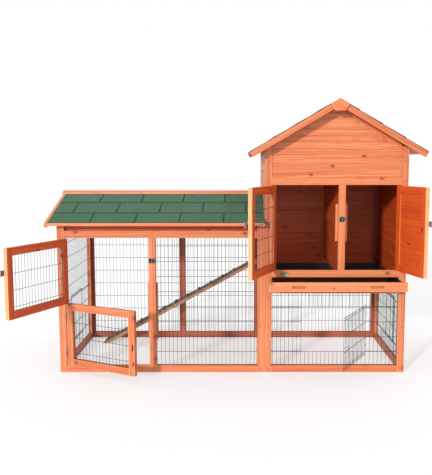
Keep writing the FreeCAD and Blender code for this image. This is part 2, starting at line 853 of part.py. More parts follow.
def make_latches():
    plate_depth = 1.4
    plate_y = -plate_depth
    hole = "2.3"
    bases = []
    for x, z, width, height in ((run_latch_x, run_latch_z, 33, 24),
                                (house_latch_x, house_latch_z, 32, 32)):
        plate = box(f"{width}", f"{plate_depth}", f"{height}",
                    (x - width / 2, plate_y, z - height / 2))
        bases.append(cut(plate, cylinder(hole, "4", (x, plate_y - 1, z), (0, 1, 0))))
    node("latch_bases", bases)
    node("run_latch_knob", [knob(run_latch_x, run_latch_z, 7.0, -0.2)])
    node("house_latch_knob", [knob(house_latch_x, house_latch_z, 9.5, -0.2)])

    button_length = 30.0
    button_x = hinge_offset + run_door_wide - 10.0
    button_z = 176.0
    turned = door_placement(batten + hinge_offset, 1, d.run_lower_open_deg)
    node("run_lower_door_button", [fuse([
        box("6", "2.5", f"{button_length}",
            (button_x - 3, door_face - 2.8, button_z - button_length / 2)),
        cylinder("3.5", "3", (button_x, door_face - 3.3, button_z), (0, 1, 0)),
    ])], turned)


def make_trim_hardware():
    plaque_x = 1117.0
    plaque_z = 496.0
    ellipse = doc.addObject("Part::Ellipse", "PlaqueOutline")
    ellipse.MajorRadius = 20.0
    ellipse.MinorRadius = 11.0
    plaque = doc.addObject("Part::Extrusion", "Piece")
    plaque.Base = ellipse
    plaque.DirMode = "Custom"
    plaque.Dir = Vector(0, 0, 1)
    plaque.Solid = True
    set_size(plaque, "LengthFwd", "leaf_thickness + 0.6")
    plaque.Placement = Placement(Vector(plaque_x, 0, plaque_z), Rotation(Vector(1, 0, 0), 90))
    node("blank_plaque", [plaque])

    inset = batten / 2
    screw_places = [(inset, z) for z in (inset, 722.0)]
    for x in (run_right_stile_x + inset, d.run_length + inset, right_post_x + inset):
        screw_places += [(x, z) for z in (inset, 230.0, d.tray_rail_z - 26)]
    for x in (d.run_length + inset, right_post_x + inset):
        screw_places += [(x, z) for z in (sill_top_z - 8, d.header_rail_z + inset, 1050.0)]
    screw_places += [(d.mid_stile_x + inset, d.top_rail_z + inset),
                     (d.mid_stile_x + inset, inset)]
    node("screw_heads", [cylinder("3.4", "0.8", (x, -0.8, z), (0, 1, 0))
                         for x, z in screw_places])


# ---------------------------------------------------------------- tray

def make_tray():
    """A shallow open pan behind a timber front with two finger recesses, pulled part way out."""
    out = Placement(Vector(0, -d.tray_pulled_out, 0), Rotation())
    front_low_z = 430.0

    body = doc.addObject("PartDesign::Body", "TrayFront")
    planes = {plane.Role: plane for plane in body.Origin.OriginFeatures}
    face_sketch = body.newObject("Sketcher::SketchObject", "Face")
    face_sketch.AttachmentSupport = (planes["XZ_Plane"], [""])
    face_sketch.MapMode = "FlatFace"
    add_rectangle(face_sketch, d.tray_front_width, d.tray_front_height, 0,
                  ("tray_front_width", "tray_front_height"))
    pad = body.newObject("PartDesign::Pad", "Board")
    pad.Profile = face_sketch
    set_size(pad, "Length", "tray_front_thickness")
    doc.recompute()
    solid_volume = body.Shape.Volume
    for slot_side in (-1, 1):
        slot_sketch = body.newObject("Sketcher::SketchObject", "Slot")
        slot_sketch.AttachmentSupport = (planes["XZ_Plane"], [""])
        slot_sketch.MapMode = "FlatFace"
        slot_sketch.AttachmentOffset = Placement(Vector(0, 0, d.tray_front_thickness), Rotation())
        add_rectangle(slot_sketch, d.finger_slot_length, d.finger_slot_height,
                      slot_side * d.finger_slot_offset,
                      ("finger_slot_length", "finger_slot_height"))
        pocket = body.newObject("PartDesign::Pocket", "SlotPocket")
        pocket.Profile = slot_sketch
        set_size(pocket, "Length", "finger_slot_depth")
    doc.recompute()
    slots = 2 * d.finger_slot_length * d.finger_slot_height * d.finger_slot_depth
    if abs(solid_volume - body.Shape.Volume - slots) > 1:
        raise RuntimeError("the finger slots did not cut into the tray front")
    body.Placement = Placement(
        Vector(house_centre_x, 0, front_low_z + d.tray_front_height / 2), Rotation())
    node("tray_front", [body], out)

    pan_x = house_inner_x + 3
    pan_z = 436.0
    pan_width = "frame_length - run_length - 2 * batten_width - 6"
    outer = box(pan_width, "tray_pan_depth", "tray_pan_height", (pan_x, 0, pan_z))
    inner = box(f"{pan_width} - 2 * tray_wall", "tray_pan_depth - 2 * tray_wall",
                "tray_pan_height", (pan_x + d.tray_wall, d.tray_wall, pan_z + d.tray_wall))
    node("tray_pan", [cut(outer, inner)], out)


def add_rectangle(sketch, width, height, centre_x, names):
    """A rectangle about (centre_x, 0) whose sides and place are sketch constraints."""
    half_w = width / 2
    half_h = height / 2
    corners = [Vector(centre_x - half_w, -half_h, 0), Vector(centre_x + half_w, -half_h, 0),
               Vector(centre_x + half_w, half_h, 0), Vector(centre_x - half_w, half_h, 0)]
    first = sketch.GeometryCount
    for start, end in zip(corners, corners[1:] + corners[:1]):
        sketch.addGeometry(Part.LineSegment(start, end), False)
    for index in range(4):
        sketch.addConstraint(Sketcher.Constraint("Coincident", first + index, 2,
                                                 first + (index + 1) % 4, 1))
    for index, kind in enumerate(("Horizontal", "Vertical", "Horizontal", "Vertical")):
        sketch.addConstraint(Sketcher.Constraint(kind, first + index))
    wide = sketch.addConstraint(Sketcher.Constraint("DistanceX", first, 1, first, 2, width))
    tall = sketch.addConstraint(Sketcher.Constraint("DistanceY", first + 1, 1, first + 1, 2,
                                                    height))
    sketch.addConstraint(Sketcher.Constraint("DistanceX", -1, 1, first, 1,
                                             centre_x - half_w))
    sketch.addConstraint(Sketcher.Constraint("DistanceY", first, 1, -1, 1, half_h))
    sketch.setExpression(f"Constraints[{wide}]", bound(names[0]))
    sketch.setExpression(f"Constraints[{tall}]", bound(names[1]))


# ---------------------------------------------------------------- wire doors

def wire_door(pitches):
    """A wire door about its pivot at x 0, whose last upright is a round wire that turns.

    The mesh stops one pitch short of it, and its cross wires run on to it, so that the hinge
    loops have room between them. Twin bars close the door's top and bottom.
    """
    twin = 12.0
    half = d.wire_size / 2
    low_z = doorway_low_z - twin
    high_z = doorway_high_z + twin
    reach = pitches * d.mesh_column_pitch + 6
    near_x = -d.mesh_column_pitch
    columns = [-index * d.mesh_column_pitch for index in range(pitches, 1, -1)]
    columns = [column for column in columns if column > -reach + 5]
    rows = [doorway_low_z + 2] + [doorway_low_z + index * d.mesh_row_pitch for index in (1, 2)]
    rows.append(doorway_high_z - 2)
    panel = mesh_panel((-reach, low_z), (near_x + half, high_z), columns, rows,
                       Placement(Vector(0, half, 0), Rotation(Vector(1, 0, 0), 90)))
    cross_wires = [box("mesh_column_pitch", "wire_size", "wire_size", (near_x, -half, z - half))
                   for z in [low_z + half] + rows + [high_z - half]]
    upright = cylinder("wire_size / 2", f"{high_z - low_z}", (0, 0, low_z))
    return fuse([panel] + cross_wires + [upright])


def wire_latch(pitches):
    """A bent-wire slide on a wire door's free side: two bars joined by a grip."""
    reach = pitches * d.mesh_column_pitch + 6
    low_z = 178.0
    rise = 18.0
    length = 52.0
    tail = -reach - 2
    bars = [box(f"{length}", "2", "2", (tail, -3.2, z)) for z in (low_z, low_z + rise)]
    grip = box("2", "7", f"{rise + 2}", (tail + length, -8.2, low_z))
    return fuse(bars + [grip])


def make_wire_doors():
    front_open = Rotation(Vector(0, 0, 1), d.wire_door_open_deg)
    pivot_x = lower_door_x + lower_door_columns * d.mesh_column_pitch
    places = (
        ("front_wire_door", "front_wire_latch", lower_door_columns,
         Placement(Vector(pivot_x, mesh_y - wire_hinge_gap, 0), front_open)),
        ("left_wire_door", "left_wire_latch", end_door_columns,
         Placement(Vector(end_mesh_x - wire_hinge_gap, end_door_near_y, 0),
                   Rotation(Vector(0, 0, 1), -90))),
        ("right_wire_door", "right_wire_latch", end_door_columns,
         Placement(Vector(d.frame_length - end_mesh_x + wire_hinge_gap,
                          end_door_near_y + end_door_columns * d.mesh_column_pitch, 0),
                   Rotation(Vector(0, 0, 1), 90))),
    )
    for door_name, latch_name, pitches, placement in places:
        node(door_name, [wire_door(pitches)], placement)
        node(latch_name, [wire_latch(pitches)], placement)


# ---------------------------------------------------------------- ramp

def make_ramp():
    """A plank from the ground to the house's left doorway, hung on a pin through its head."""
    near_y = 545.0
    foot = d.ramp_foot_x
    pin_setback = 7.0
    pin_drop = 13.0
    drop = d.ramp_thickness * math.sqrt(1 + d.ramp_slope ** 2)
    head_top = (d.ramp_head_x - foot) * d.ramp_slope
    outline = [(foot, near_y, 0.3), (foot + drop / d.ramp_slope, near_y, 0.3),
               (d.ramp_head_x, near_y, head_top - drop), (d.ramp_head_x, near_y, head_top)]
    pin_x = d.ramp_head_x - pin_setback
    pin_z = head_top - pin_drop
    bore = cylinder(f"ramp_pin_radius + {TURNING_CLEARANCE}", "ramp_width",
                    (pin_x, near_y, pin_z), (0, 1, 0))
    node("ramp_board", [cut(prism(outline, (0, 1, 0), "ramp_width"), bore)])

    side_gap = 1.0
    bracket_drop = 7.0
    bracket_y = near_y - side_gap - d.ramp_bracket
    bracket_length = d.run_length - pin_x + bracket_drop
    bracket = ("ramp_bracket", f"{2 * bracket_drop}")
    far_bracket_y = near_y + d.ramp_width + side_gap
    brackets = [box(f"{bracket_length}", *bracket, (pin_x - bracket_drop, y, pin_z - bracket_drop))
                for y in (bracket_y, far_bracket_y)]
    pin = cylinder("ramp_pin_radius", f"ramp_width + 2 * ramp_bracket + {2 * side_gap}",
                   (pin_x, bracket_y, pin_z), (0, 1, 0))
    node("ramp_hinge", [fuse(brackets + [pin])])
    print(f"ramp pin at {pin_x:.2f}, {pin_z:.2f}")

    tilt = math.degrees(math.atan(d.ramp_slope))
    step = 78.0
    count = 11
    cleats = []
    for index in range(count):
        along = (index + 1) * step
        cleat = box("cleat_width", "ramp_width - 10", "cleat_height", (along, 0, 0))
        lift = Placement(Vector(foot, near_y + 5, 0.3), Rotation(Vector(0, 1, 0), -tilt))
        cleat.Placement = lift.multiply(cleat.Placement)
        cleats.append(cleat)
    node("ramp_cleats", cleats)


# ---------------------------------------------------------------- build and write

def check_document():
    """Stop if any object failed to rebuild or any sub-part is not a sound solid."""
    for item in doc.Objects:
        if "Invalid" in item.State or "Error" in item.State:
            raise RuntimeError(f"{item.Name} ({item.Label}) failed: {item.State}")
    for name, item in nodes.items():
        if item.Shape.isNull() or not item.Shape.isValid() or not item.Shape.Solids:
            raise RuntimeError(f"{name} has no valid solid")


def centre_on_footprint():
    """Move every node so that the origin is the middle of the footprint, on the ground."""
    whole = FreeCAD.BoundBox()
    for item in nodes.values():
        whole.add(item.Shape.BoundBox)
    shift = Vector(-whole.Center.x, -whole.Center.y, -whole.ZMin)
    for item in nodes.values():
        item.Placement = Placement(shift, Rotation()).multiply(item.Placement)
    print(f"origin shift {shift.x:.3f} {shift.y:.3f} {shift.z:.3f}; "
          f"size {whole.XLength:.1f} x {whole.YLength:.1f} x {whole.ZLength:.1f}")


make_run_frame()
make_door_stops()
make_run_roof()
make_meshes()
make_house_frame()
make_house_walls()
make_house_roof()
make_doors()
make_latches()
make_trim_hardware()
make_tray()
make_wire_doors()
make_ramp()

doc.recompute()
check_document()
centre_on_footprint()
doc.recompute()
check_document()

os.makedirs("parts", exist_ok=True)
for name, item in nodes.items():
    item.Shape.exportStep(f"parts/{name}.step")
print(f"{len(nodes)} nodes written")
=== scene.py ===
"""The looks of the rabbit hutch: stained timber, shingle felt, welded wire and small hardware.

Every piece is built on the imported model. Timber is cut again from the model's own solids, with
eased edges and a grain that follows each board; mesh panels become round crossing wires; the felt
becomes separate shingle tabs. Lengths are metres in the model's frame: x to the right along the
front, y to the back, z up.
"""
import json
import math
import random

import bmesh
import bpy
import numpy as np
from mathutils import Matrix, Vector


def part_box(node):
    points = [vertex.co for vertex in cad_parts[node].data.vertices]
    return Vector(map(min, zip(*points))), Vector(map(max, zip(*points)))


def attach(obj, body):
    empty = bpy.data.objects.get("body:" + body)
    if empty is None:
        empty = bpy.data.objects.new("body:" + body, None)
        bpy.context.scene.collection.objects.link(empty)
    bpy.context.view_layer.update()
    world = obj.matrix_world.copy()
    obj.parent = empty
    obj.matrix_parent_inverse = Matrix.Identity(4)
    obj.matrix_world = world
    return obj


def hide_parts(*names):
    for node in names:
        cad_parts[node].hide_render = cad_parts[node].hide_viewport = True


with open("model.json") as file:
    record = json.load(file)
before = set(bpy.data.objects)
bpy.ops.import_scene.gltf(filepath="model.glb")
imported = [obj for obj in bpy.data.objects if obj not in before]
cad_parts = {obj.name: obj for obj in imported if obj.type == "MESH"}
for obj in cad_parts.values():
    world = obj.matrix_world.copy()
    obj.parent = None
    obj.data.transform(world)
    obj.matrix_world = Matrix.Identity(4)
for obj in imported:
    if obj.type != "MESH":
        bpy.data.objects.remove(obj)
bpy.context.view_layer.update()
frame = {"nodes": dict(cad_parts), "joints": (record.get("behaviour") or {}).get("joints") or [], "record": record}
scene = bpy.context.scene
record = frame["record"]

MM = 0.001
UP = Vector((0, 0, 1))
BODY_OF = {node: body for body, nodes in record["behaviour"]["bodies"].items() for node in nodes}
SLOT_OF = {part["node"]: part["material_slot"] for part in record["subparts"]}
JOINTS = {joint["name"]: joint for joint in frame["joints"]}
FRONT = Vector((0, -1, 0))
FACING_LIMIT = 0.7
UPRIGHT_RADIUS = 0.85 * MM
CROSS_RADIUS = 1.15 * MM
WELD_DEPTH = 0.5 * MM
HINGE_WIRE_RADIUS = 0.6 * MM
HINGE_WINDING_RADIUS = 1.65 * MM
LATCH_WIRE_RADIUS = 1.0 * MM
WIRE_SIDES = 8
TALLEST_LOOP = 20 * MM
rng = random.Random(7)


# ---------------------------------------------------------------- camera

def make_camera():
    """Eye level a little over the run's roof, in front of the house's left side."""
    data = bpy.data.cameras.new("camera")
    data.sensor_width = 36.0
    data.lens = 51.86
    data.shift_x = -0.0493
    camera = bpy.data.objects.new("camera", data)
    camera.location = (0.0748, -3.5117, 1.0539)
    camera.rotation_euler = (math.radians(90 - 6.44), 0, 0)
    scene.collection.objects.link(camera)
    scene.camera = camera


# ---------------------------------------------------------------- material nodes

class Graph:
    """A short way to write a material's nodes."""

    def __init__(self, name):
        self.material = bpy.data.materials.new(name)
        self.material.use_nodes = True
        self.tree = self.material.node_tree
        self.shader = self.tree.nodes["Principled BSDF"]

    def add(self, kind, sockets=None, **settings):
        item = self.tree.nodes.new(kind)
        for name, value in settings.items():
            setattr(item, name, value)
        for name, value in (sockets or {}).items():
            self.put(item.inputs[name], value)
        return item

    def put(self, socket, value):
        if isinstance(value, bpy.types.NodeSocket):
            self.tree.links.new(value, socket)
        else:
            socket.default_value = value

    def attribute(self, name):
        return self.add("ShaderNodeAttribute", attribute_name=name).outputs["Vector"]

    def scaled(self, vector, scale):
        return self.add("ShaderNodeVectorMath", {0: vector, 1: scale},
                        operation="MULTIPLY").outputs[0]

    def noise(self, vector, scale, detail=4.0, rough=0.55):
        item = self.add("ShaderNodeTexNoise", {"Vector": vector, "Scale": scale, "Detail": detail,
                                               "Roughness": rough})
        return item.outputs["Fac"]

    def math(self, operation, first, second=0.0):
        return self.add("ShaderNodeMath", {0: first, 1: second}, operation=operation).outputs[0]

    def band(self, value, low, high, to_low=0.0, to_high=1.0):
        """A smooth step of a value from one level to another."""
        item = self.add("ShaderNodeMapRange", {"Value": value, "From Min": low, "From Max": high,
                                               "To Min": to_low, "To Max": to_high})
        item.interpolation_type = "SMOOTHSTEP"
        return item.outputs["Result"]

    def mix(self, share, first, second):
        item = self.add("ShaderNodeMix", data_type="RGBA")
        self.put(item.inputs["Factor"], share)
        colours = [socket for socket in item.inputs if socket.type == "RGBA"]
        self.put(colours[0], first)
        self.put(colours[1], second)
        return [socket for socket in item.outputs if socket.type == "RGBA"][0]

    def bump(self, height, strength, distance):
        return self.add("ShaderNodeBump", {"Height": height, "Strength": strength,
                                           "Distance": distance}).outputs["Normal"]

    def finish(self, colour, roughness, normal=None, **constants):
        self.put(self.shader.inputs["Base Color"], colour)
        self.put(self.shader.inputs["Roughness"], roughness)
        if normal is not None:
            self.put(self.shader.inputs["Normal"], normal)
        for name, value in constants.items():
            self.shader.inputs[name.replace("_", " ")].default_value = value
        return self.material


def edge_distance(graph):
    """Metres to the nearest edge of the board's own box, from its place and half sizes."""
    inward = graph.add("ShaderNodeVectorMath", {0: graph.attribute("place")},
                       operation="ABSOLUTE").outputs[0]
    depth = graph.add("ShaderNodeVectorMath", {0: graph.attribute("half"), 1: inward},
                      operation="SUBTRACT").outputs[0]
    parts = graph.add("ShaderNodeSeparateXYZ", {0: depth}).outputs
    smaller = graph.math("MINIMUM", parts[0], parts[1])
    larger = graph.math("MAXIMUM", parts[0], parts[1])
    return graph.math("MAXIMUM", smaller, graph.math("MINIMUM", larger, parts[2]))


def timber(name, pale, mid, dark, knots=1.0, rough=0.5):
    """Stained softwood: streaks and growth lines along the board, knots, pores and rubbed edges."""
    graph = Graph(name)
    board = graph.attribute("board")
    place = graph.attribute("place")
    shifted = graph.add("ShaderNodeVectorMath", {0: place, 1: graph.scaled(board, (9, 7, 5))},
                        operation="ADD").outputs[0]
    warp = graph.noise(graph.scaled(shifted, (3, 9, 9)), 1.0, 2.0)
    bend = graph.math("MULTIPLY", graph.math("SUBTRACT", warp, 0.5), 0.028)
    parts = graph.add("ShaderNodeSeparateXYZ", {0: shifted}).outputs
    across = graph.math("ADD", parts[1], bend)
    grain = graph.add("ShaderNodeCombineXYZ", {0: parts[0], 1: across, 2: parts[2]}).outputs[0]

    streaks = graph.noise(graph.scaled(grain, (0.9, 60, 60)), 1.0, 5.0, 0.6)
    fibres = graph.noise(graph.scaled(grain, (9, 420, 420)), 1.0, 3.0, 0.7)
    blotches = graph.noise(graph.scaled(shifted, (4, 11, 11)), 1.0, 3.0)
    rings = graph.add("ShaderNodeTexWave", {"Vector": graph.scaled(grain, (0.35, 1, 1)),
                                            "Scale": 26.0, "Distortion": 5.0, "Detail": 2.5,
                                            "Detail Scale": 1.2},
                      bands_direction="Y").outputs["Fac"]

    cells = graph.add("ShaderNodeTexVoronoi", {"Vector": graph.scaled(shifted, (8.5, 13, 0)),
                                               "Scale": 1.0}, voronoi_dimensions="2D")
    chosen = graph.add("ShaderNodeSeparateColor", {0: cells.outputs["Color"]}).outputs[0]
    present = graph.math("MULTIPLY", graph.band(chosen, 0.80, 0.82), knots)
    halo = graph.math("MULTIPLY", graph.band(cells.outputs["Distance"], 0.06, 0.20, 1, 0), present)
    core = graph.math("MULTIPLY", graph.band(cells.outputs["Distance"], 0.05, 0.075, 1, 0), present)

    parts_of_board = graph.add("ShaderNodeSeparateXYZ", {0: board}).outputs
    tone = parts_of_board[0]
    colour = graph.mix(graph.band(streaks, 0.36, 0.62), pale, mid)
    colour = graph.mix(graph.math("MULTIPLY", graph.band(streaks, 0.56, 0.72), 0.5), colour, dark)
    colour = graph.mix(graph.math("MULTIPLY", graph.band(rings, 0.6, 1.0), 0.42), colour, dark)
    colour = graph.mix(graph.math("MULTIPLY", graph.band(blotches, 0.52, 0.8), 0.35), colour, dark)
    colour = graph.mix(graph.math("MULTIPLY", graph.band(fibres, 0.56, 0.75), 0.25), colour, dark)
    colour = graph.mix(graph.math("MULTIPLY", tone, 0.4), colour, mid)
    colour = graph.mix(graph.band(parts_of_board[1], 0.6, 1.0, 0.0, 0.22), colour, dark)
    colour = graph.mix(graph.math("MULTIPLY", halo, 0.55), colour, dark)
    knot_colour = tuple(0.28 * part for part in dark[:3]) + (1,)
    colour = graph.mix(graph.math("MULTIPLY", core, 0.85), colour, knot_colour)
    rubbed = graph.math("MULTIPLY", graph.band(edge_distance(graph), 0.0004, 0.0024, 1, 0),
                        graph.band(blotches, 0.35, 0.6))
    worn = tuple(min(1, 1.12 * part + 0.03) for part in pale[:3]) + (1,)
    colour = graph.mix(graph.math("MULTIPLY", rubbed, 0.6), colour, worn)

    height = graph.math("ADD", graph.math("MULTIPLY", fibres, 0.6),
                        graph.math("MULTIPLY", rings, 0.4))
    height = graph.math("SUBTRACT", height, graph.math("MULTIPLY", core, 0.5))
    gloss = graph.band(streaks, 0.2, 0.8, rough - 0.08, rough + 0.1)
    return graph.finish(colour, gloss, graph.bump(height, 0.35, 0.0006),
                        Specular_IOR_Level=0.45, Coat_Weight=0.12, Coat_Roughness=0.35)


def felt(name):
    """Mineral-faced felt: crushed green grit with darker and paler grains, a little faded."""
    graph = Graph(name)
    place = graph.add("ShaderNodeTexCoord").outputs["Object"]
    grit = graph.add("ShaderNodeTexVoronoi", {"Vector": place, "Scale": 620.0})
    fine = graph.noise(place, 900.0, 3.0, 0.7)
    cloud = graph.noise(place, 7.0, 4.0)
    shade = graph.add("ShaderNodeSeparateColor", {0: grit.outputs["Color"]}).outputs[0]
    tone = graph.add("ShaderNodeSeparateXYZ", {0: graph.attribute("board")}).outputs[0]
    colour = graph.mix(graph.band(shade, 0.1, 0.95), (0.030, 0.088, 0.050, 1),
                       (0.074, 0.158, 0.098, 1))
    colour = graph.mix(graph.band(shade, 0.93, 0.97), colour, (0.20, 0.30, 0.22, 1))
    colour = graph.mix(graph.math("MULTIPLY", graph.band(cloud, 0.4, 0.7), 0.3), colour,
                       (0.088, 0.165, 0.108, 1))
    colour = graph.mix(graph.math("MULTIPLY", tone, 0.3), colour, (0.036, 0.100, 0.058, 1))
    height = graph.math("ADD", graph.math("MULTIPLY", shade, 0.7),
                        graph.math("MULTIPLY", fine, 0.4))
    return graph.finish(colour, graph.band(fine, 0.3, 0.7, 0.82, 0.98),
                        graph.bump(height, 0.6, 0.0011), Specular_IOR_Level=0.25)


def bitumen(name):
    """Black bitumen at the felt's cut edges, also laid in the joints and on the tab edges as painted shade."""
    graph = Graph(name)
    place = graph.add("ShaderNodeTexCoord").outputs["Object"]
    crumbs = graph.noise(place, 500.0, 3.0)
    colour = graph.mix(graph.band(crumbs, 0.4, 0.7), (0.010, 0.015, 0.012, 1),
                       (0.022, 0.036, 0.026, 1))
    return graph.finish(colour, 0.9, graph.bump(crumbs, 0.4, 0.0008))


def metal(name, base, bright, rough, metallic=0.9):
    """Metal dulled in patches, with fine scuffs."""
    graph = Graph(name)
    place = graph.add("ShaderNodeTexCoord").outputs["Object"]
    patches = graph.noise(place, 48.0, 4.0)
    scuffs = graph.noise(graph.scaled(place, (1, 1, 6)), 640.0, 3.0, 0.7)
    colour = graph.mix(graph.band(patches, 0.35, 0.7), base, bright)
    colour = graph.mix(graph.math("MULTIPLY", graph.band(scuffs, 0.6, 0.75), 0.4), colour, bright)
    gloss = graph.band(patches, 0.3, 0.7, rough - 0.1, rough + 0.12)
    return graph.finish(colour, gloss, graph.bump(scuffs, 0.15, 0.0003), Metallic=metallic)


def enamel(name):
    """Black enamel on the pan, with orange-peel, dust and dull scratches."""
    graph = Graph(name)
    place = graph.add("ShaderNodeTexCoord").outputs["Object"]
    peel = graph.noise(place, 300.0, 2.0)
    dust = graph.noise(place, 18.0, 5.0)
    scratches = graph.noise(graph.scaled(place, (6, 90, 6)), 6.0, 4.0, 0.7)
    colour = graph.mix(graph.band(dust, 0.45, 0.75), (0.010, 0.010, 0.011, 1),
                       (0.030, 0.028, 0.026, 1))
    colour = graph.mix(graph.math("MULTIPLY", graph.band(scratches, 0.66, 0.74), 0.5), colour,
                       (0.07, 0.065, 0.06, 1))
    return graph.finish(colour, graph.band(dust, 0.3, 0.7, 0.3, 0.55),
                        graph.bump(peel, 0.12, 0.0003))


def ramp_grip(name):
    """The ramp's walking face: board weathered to a dark greenish brown, scuffed by claws."""
    graph = Graph(name)
    place = graph.attribute("place")
    streaks = graph.noise(graph.scaled(place, (4, 60, 60)), 1.0, 5.0, 0.6)
    claws = graph.noise(graph.scaled(place, (30, 190, 190)), 1.0, 3.0, 0.7)
    colour = graph.mix(graph.band(streaks, 0.3, 0.7), (0.055, 0.058, 0.040, 1),
                       (0.120, 0.105, 0.068, 1))
    colour = graph.mix(graph.math("MULTIPLY", graph.band(claws, 0.6, 0.72), 0.5), colour,
                       (0.21, 0.16, 0.10, 1))
    return graph.finish(colour, 0.85, graph.bump(claws, 0.4, 0.0008))


def make_materials():
    return {
        "face": timber("stained_timber", (0.64, 0.212, 0.080, 1), (0.51, 0.128, 0.038, 1),
                       (0.29, 0.050, 0.012, 1)),
        "trim": timber("pale_stained_timber", (0.68, 0.25, 0.112, 1), (0.58, 0.175, 0.066, 1),
                       (0.40, 0.090, 0.028, 1), knots=0.5),
        # inner faces, roof boards, bearers and floor: a deeper stain, darkened and made more saturated still as
        # painted shade
        "inner": timber("deep_stain_and_shade_timber", (0.60, 0.092, 0.012, 1), (0.50, 0.056, 0.006, 1),
                        (0.30, 0.026, 0.003, 1)),
        "back": timber("shaded_stained_timber", (0.42, 0.100, 0.040, 1), (0.31, 0.062, 0.025, 1),
                       (0.18, 0.030, 0.013, 1)),
        "free_edge": timber("pale_door_edge", (0.80, 0.40, 0.18, 1), (0.72, 0.31, 0.125, 1),
                            (0.55, 0.19, 0.06, 1), knots=0.0),
        # the back wall's inside face: painted shade, the stain as it looks in the house with warm light bounced
        # into it
        "inside": timber("house_inside_shade_timber", (0.76, 0.155, 0.024, 1), (0.63, 0.105, 0.014, 1),
                         (0.36, 0.044, 0.006, 1)),
        "recess": timber("routed_timber", (0.50, 0.17, 0.06, 1), (0.42, 0.115, 0.034, 1),
                         (0.26, 0.055, 0.014, 1), knots=0.0),
        # the ramp's sides: bare timber darkened by about a third as painted shade
        "ramp_side": timber("shaded_bare_timber", (0.40, 0.20, 0.10, 1), (0.31, 0.145, 0.07, 1),
                            (0.19, 0.082, 0.04, 1), knots=0.5, rough=0.65),
        "ramp_top": ramp_grip("ramp_grip"),
        "felt": felt("mineral_felt"),
        "felt_cut_and_joint_shade": bitumen("bitumen_edge_and_joint_shade"),
        "wire": metal("welded_wire", (0.016, 0.018, 0.020, 1), (0.045, 0.048, 0.051, 1), 0.6,
                      metallic=0.2),
        "steel": metal("plated_steel", (0.13, 0.125, 0.115, 1), (0.34, 0.33, 0.31, 1), 0.4),
        # blackened steel; on the screw heads it also paints the shade in the cross recesses
        "dark_steel_and_recess_shade": metal("blackened_steel_and_recess_shade", (0.022, 0.021, 0.020, 1), (0.075, 0.07, 0.066, 1),
                            0.45, metallic=0.6),
        "plaque": metal("plaque_metal", (0.16, 0.19, 0.14, 1), (0.34, 0.37, 0.28, 1), 0.4),
        "enamel": enamel("black_enamel"),
    }


# ---------------------------------------------------------------- solids of the model

def solids(node):
    """The node's separate solids, each as (points, faces). Solids that only touch stay apart.

    Where two solids share a whole face, that face's parts come out as solids of their own.
    """
    mesh = frame["nodes"][node].data
    number_of = {}
    points = []
    number = []
    for vertex in mesh.vertices:
        key = tuple(round(part, 5) for part in vertex.co)
        if key not in number_of:
            number_of[key] = len(points)
            points.append(vertex.co.copy())
        number.append(number_of[key])
    faces = []
    for polygon in mesh.polygons:
        corners = [number[index] for index in polygon.vertices]
        if len(set(corners)) == len(corners):
            faces.append(corners)
    faces_of_edge = {}
    for index, corners in enumerate(faces):
        for start, end in zip(corners, corners[1:] + corners[:1]):
            faces_of_edge.setdefault(frozenset((start, end)), []).append(index)
    leader = list(range(len(faces)))

    def lead(index):
        while leader[index] != index:
            leader[index] = leader[leader[index]]
            index = leader[index]
        return index

    for sharing in faces_of_edge.values():
        if len(sharing) == 2:
            leader[lead(sharing[0])] = lead(sharing[1])
    groups = {}
    for index in range(len(faces)):
        groups.setdefault(lead(index), []).append(faces[index])
    found = []
    for group in groups.values():
        used = sorted({corner for corners in group for corner in corners})
        place = {corner: index for index, corner in enumerate(used)}
        found.append(([points[corner] for corner in used],
                      [[place[corner] for corner in corners] for corners in group]))
    return found


def as_bmesh(solid):
    """A solid with its flat faces whole instead of in triangles."""
    bm = bmesh.new()
    corners = [bm.verts.new(point) for point in solid[0]]
    for face in solid[1]:
        bm.faces.new([corners[index] for index in face])
    bmesh.ops.dissolve_limit(bm, angle_limit=math.radians(1), verts=bm.verts, edges=bm.edges)
    return bm


def board_axes(bm):
    """The board's own axes: along its longest edge, across its next longest, and through it.

    Edges inside a flat face don't count, unless the shape is a single flat face.
    """
    true_edges = [edge for edge in bm.edges
                  if len(edge.link_faces) == 2 and edge.calc_face_angle(0) > 0.1]
    true_edges = true_edges or bm.edges
    edges = sorted(((edge.verts[1].co - edge.verts[0].co) for edge in true_edges),
                   key=lambda step: -round(step.length, 4))
    along = edges[0].normalized()
    square = [step for step in edges if abs(step.normalized().dot(along)) < 0.2]
    across = square[0] if square else along.orthogonal()
    across = (across - along * across.dot(along)).normalized()
    return along, across, along.cross(across)


def ease_edges(bm, width):
    """Round the sharp edges by a small width."""
    sharp = [edge for edge in bm.edges
             if len(edge.link_faces) == 2 and edge.calc_face_angle(0) > math.radians(25)]
    bmesh.ops.bevel(bm, geom=sharp, offset=width, offset_type="OFFSET", segments=2, profile=0.6,
                    affect="EDGES", clamp_overlap=True)


def sawn(bm, axis, pitch, joint):
    """Saw a panel into planks across an axis, with a narrow joint between them."""
    reach = [vertex.co.dot(axis) for vertex in bm.verts]
    low = min(reach)
    high = max(reach)
    count = max(1, round((high - low) / pitch))
    planks = []
    for index in range(count):
        plank = bm.copy()
        start = low + (high - low) * index / count + (joint / 2 if index else 0)
        end = low + (high - low) * (index + 1) / count - (joint / 2 if index + 1 < count else 0)
        for level, sign in ((start, 1), (end, -1)):
            if low + 1e-6 < level < high - 1e-6:
                cut = bmesh.ops.bisect_plane(
                    plank, geom=plank.verts[:] + plank.edges[:] + plank.faces[:],
                    plane_co=axis * level, plane_no=axis * -sign, clear_outer=True)
                edges = [item for item in cut["geom_cut"] if isinstance(item, bmesh.types.BMEdge)]
                bmesh.ops.holes_fill(plank, edges=edges)
        planks.append(plank)
    bm.free()
    return planks


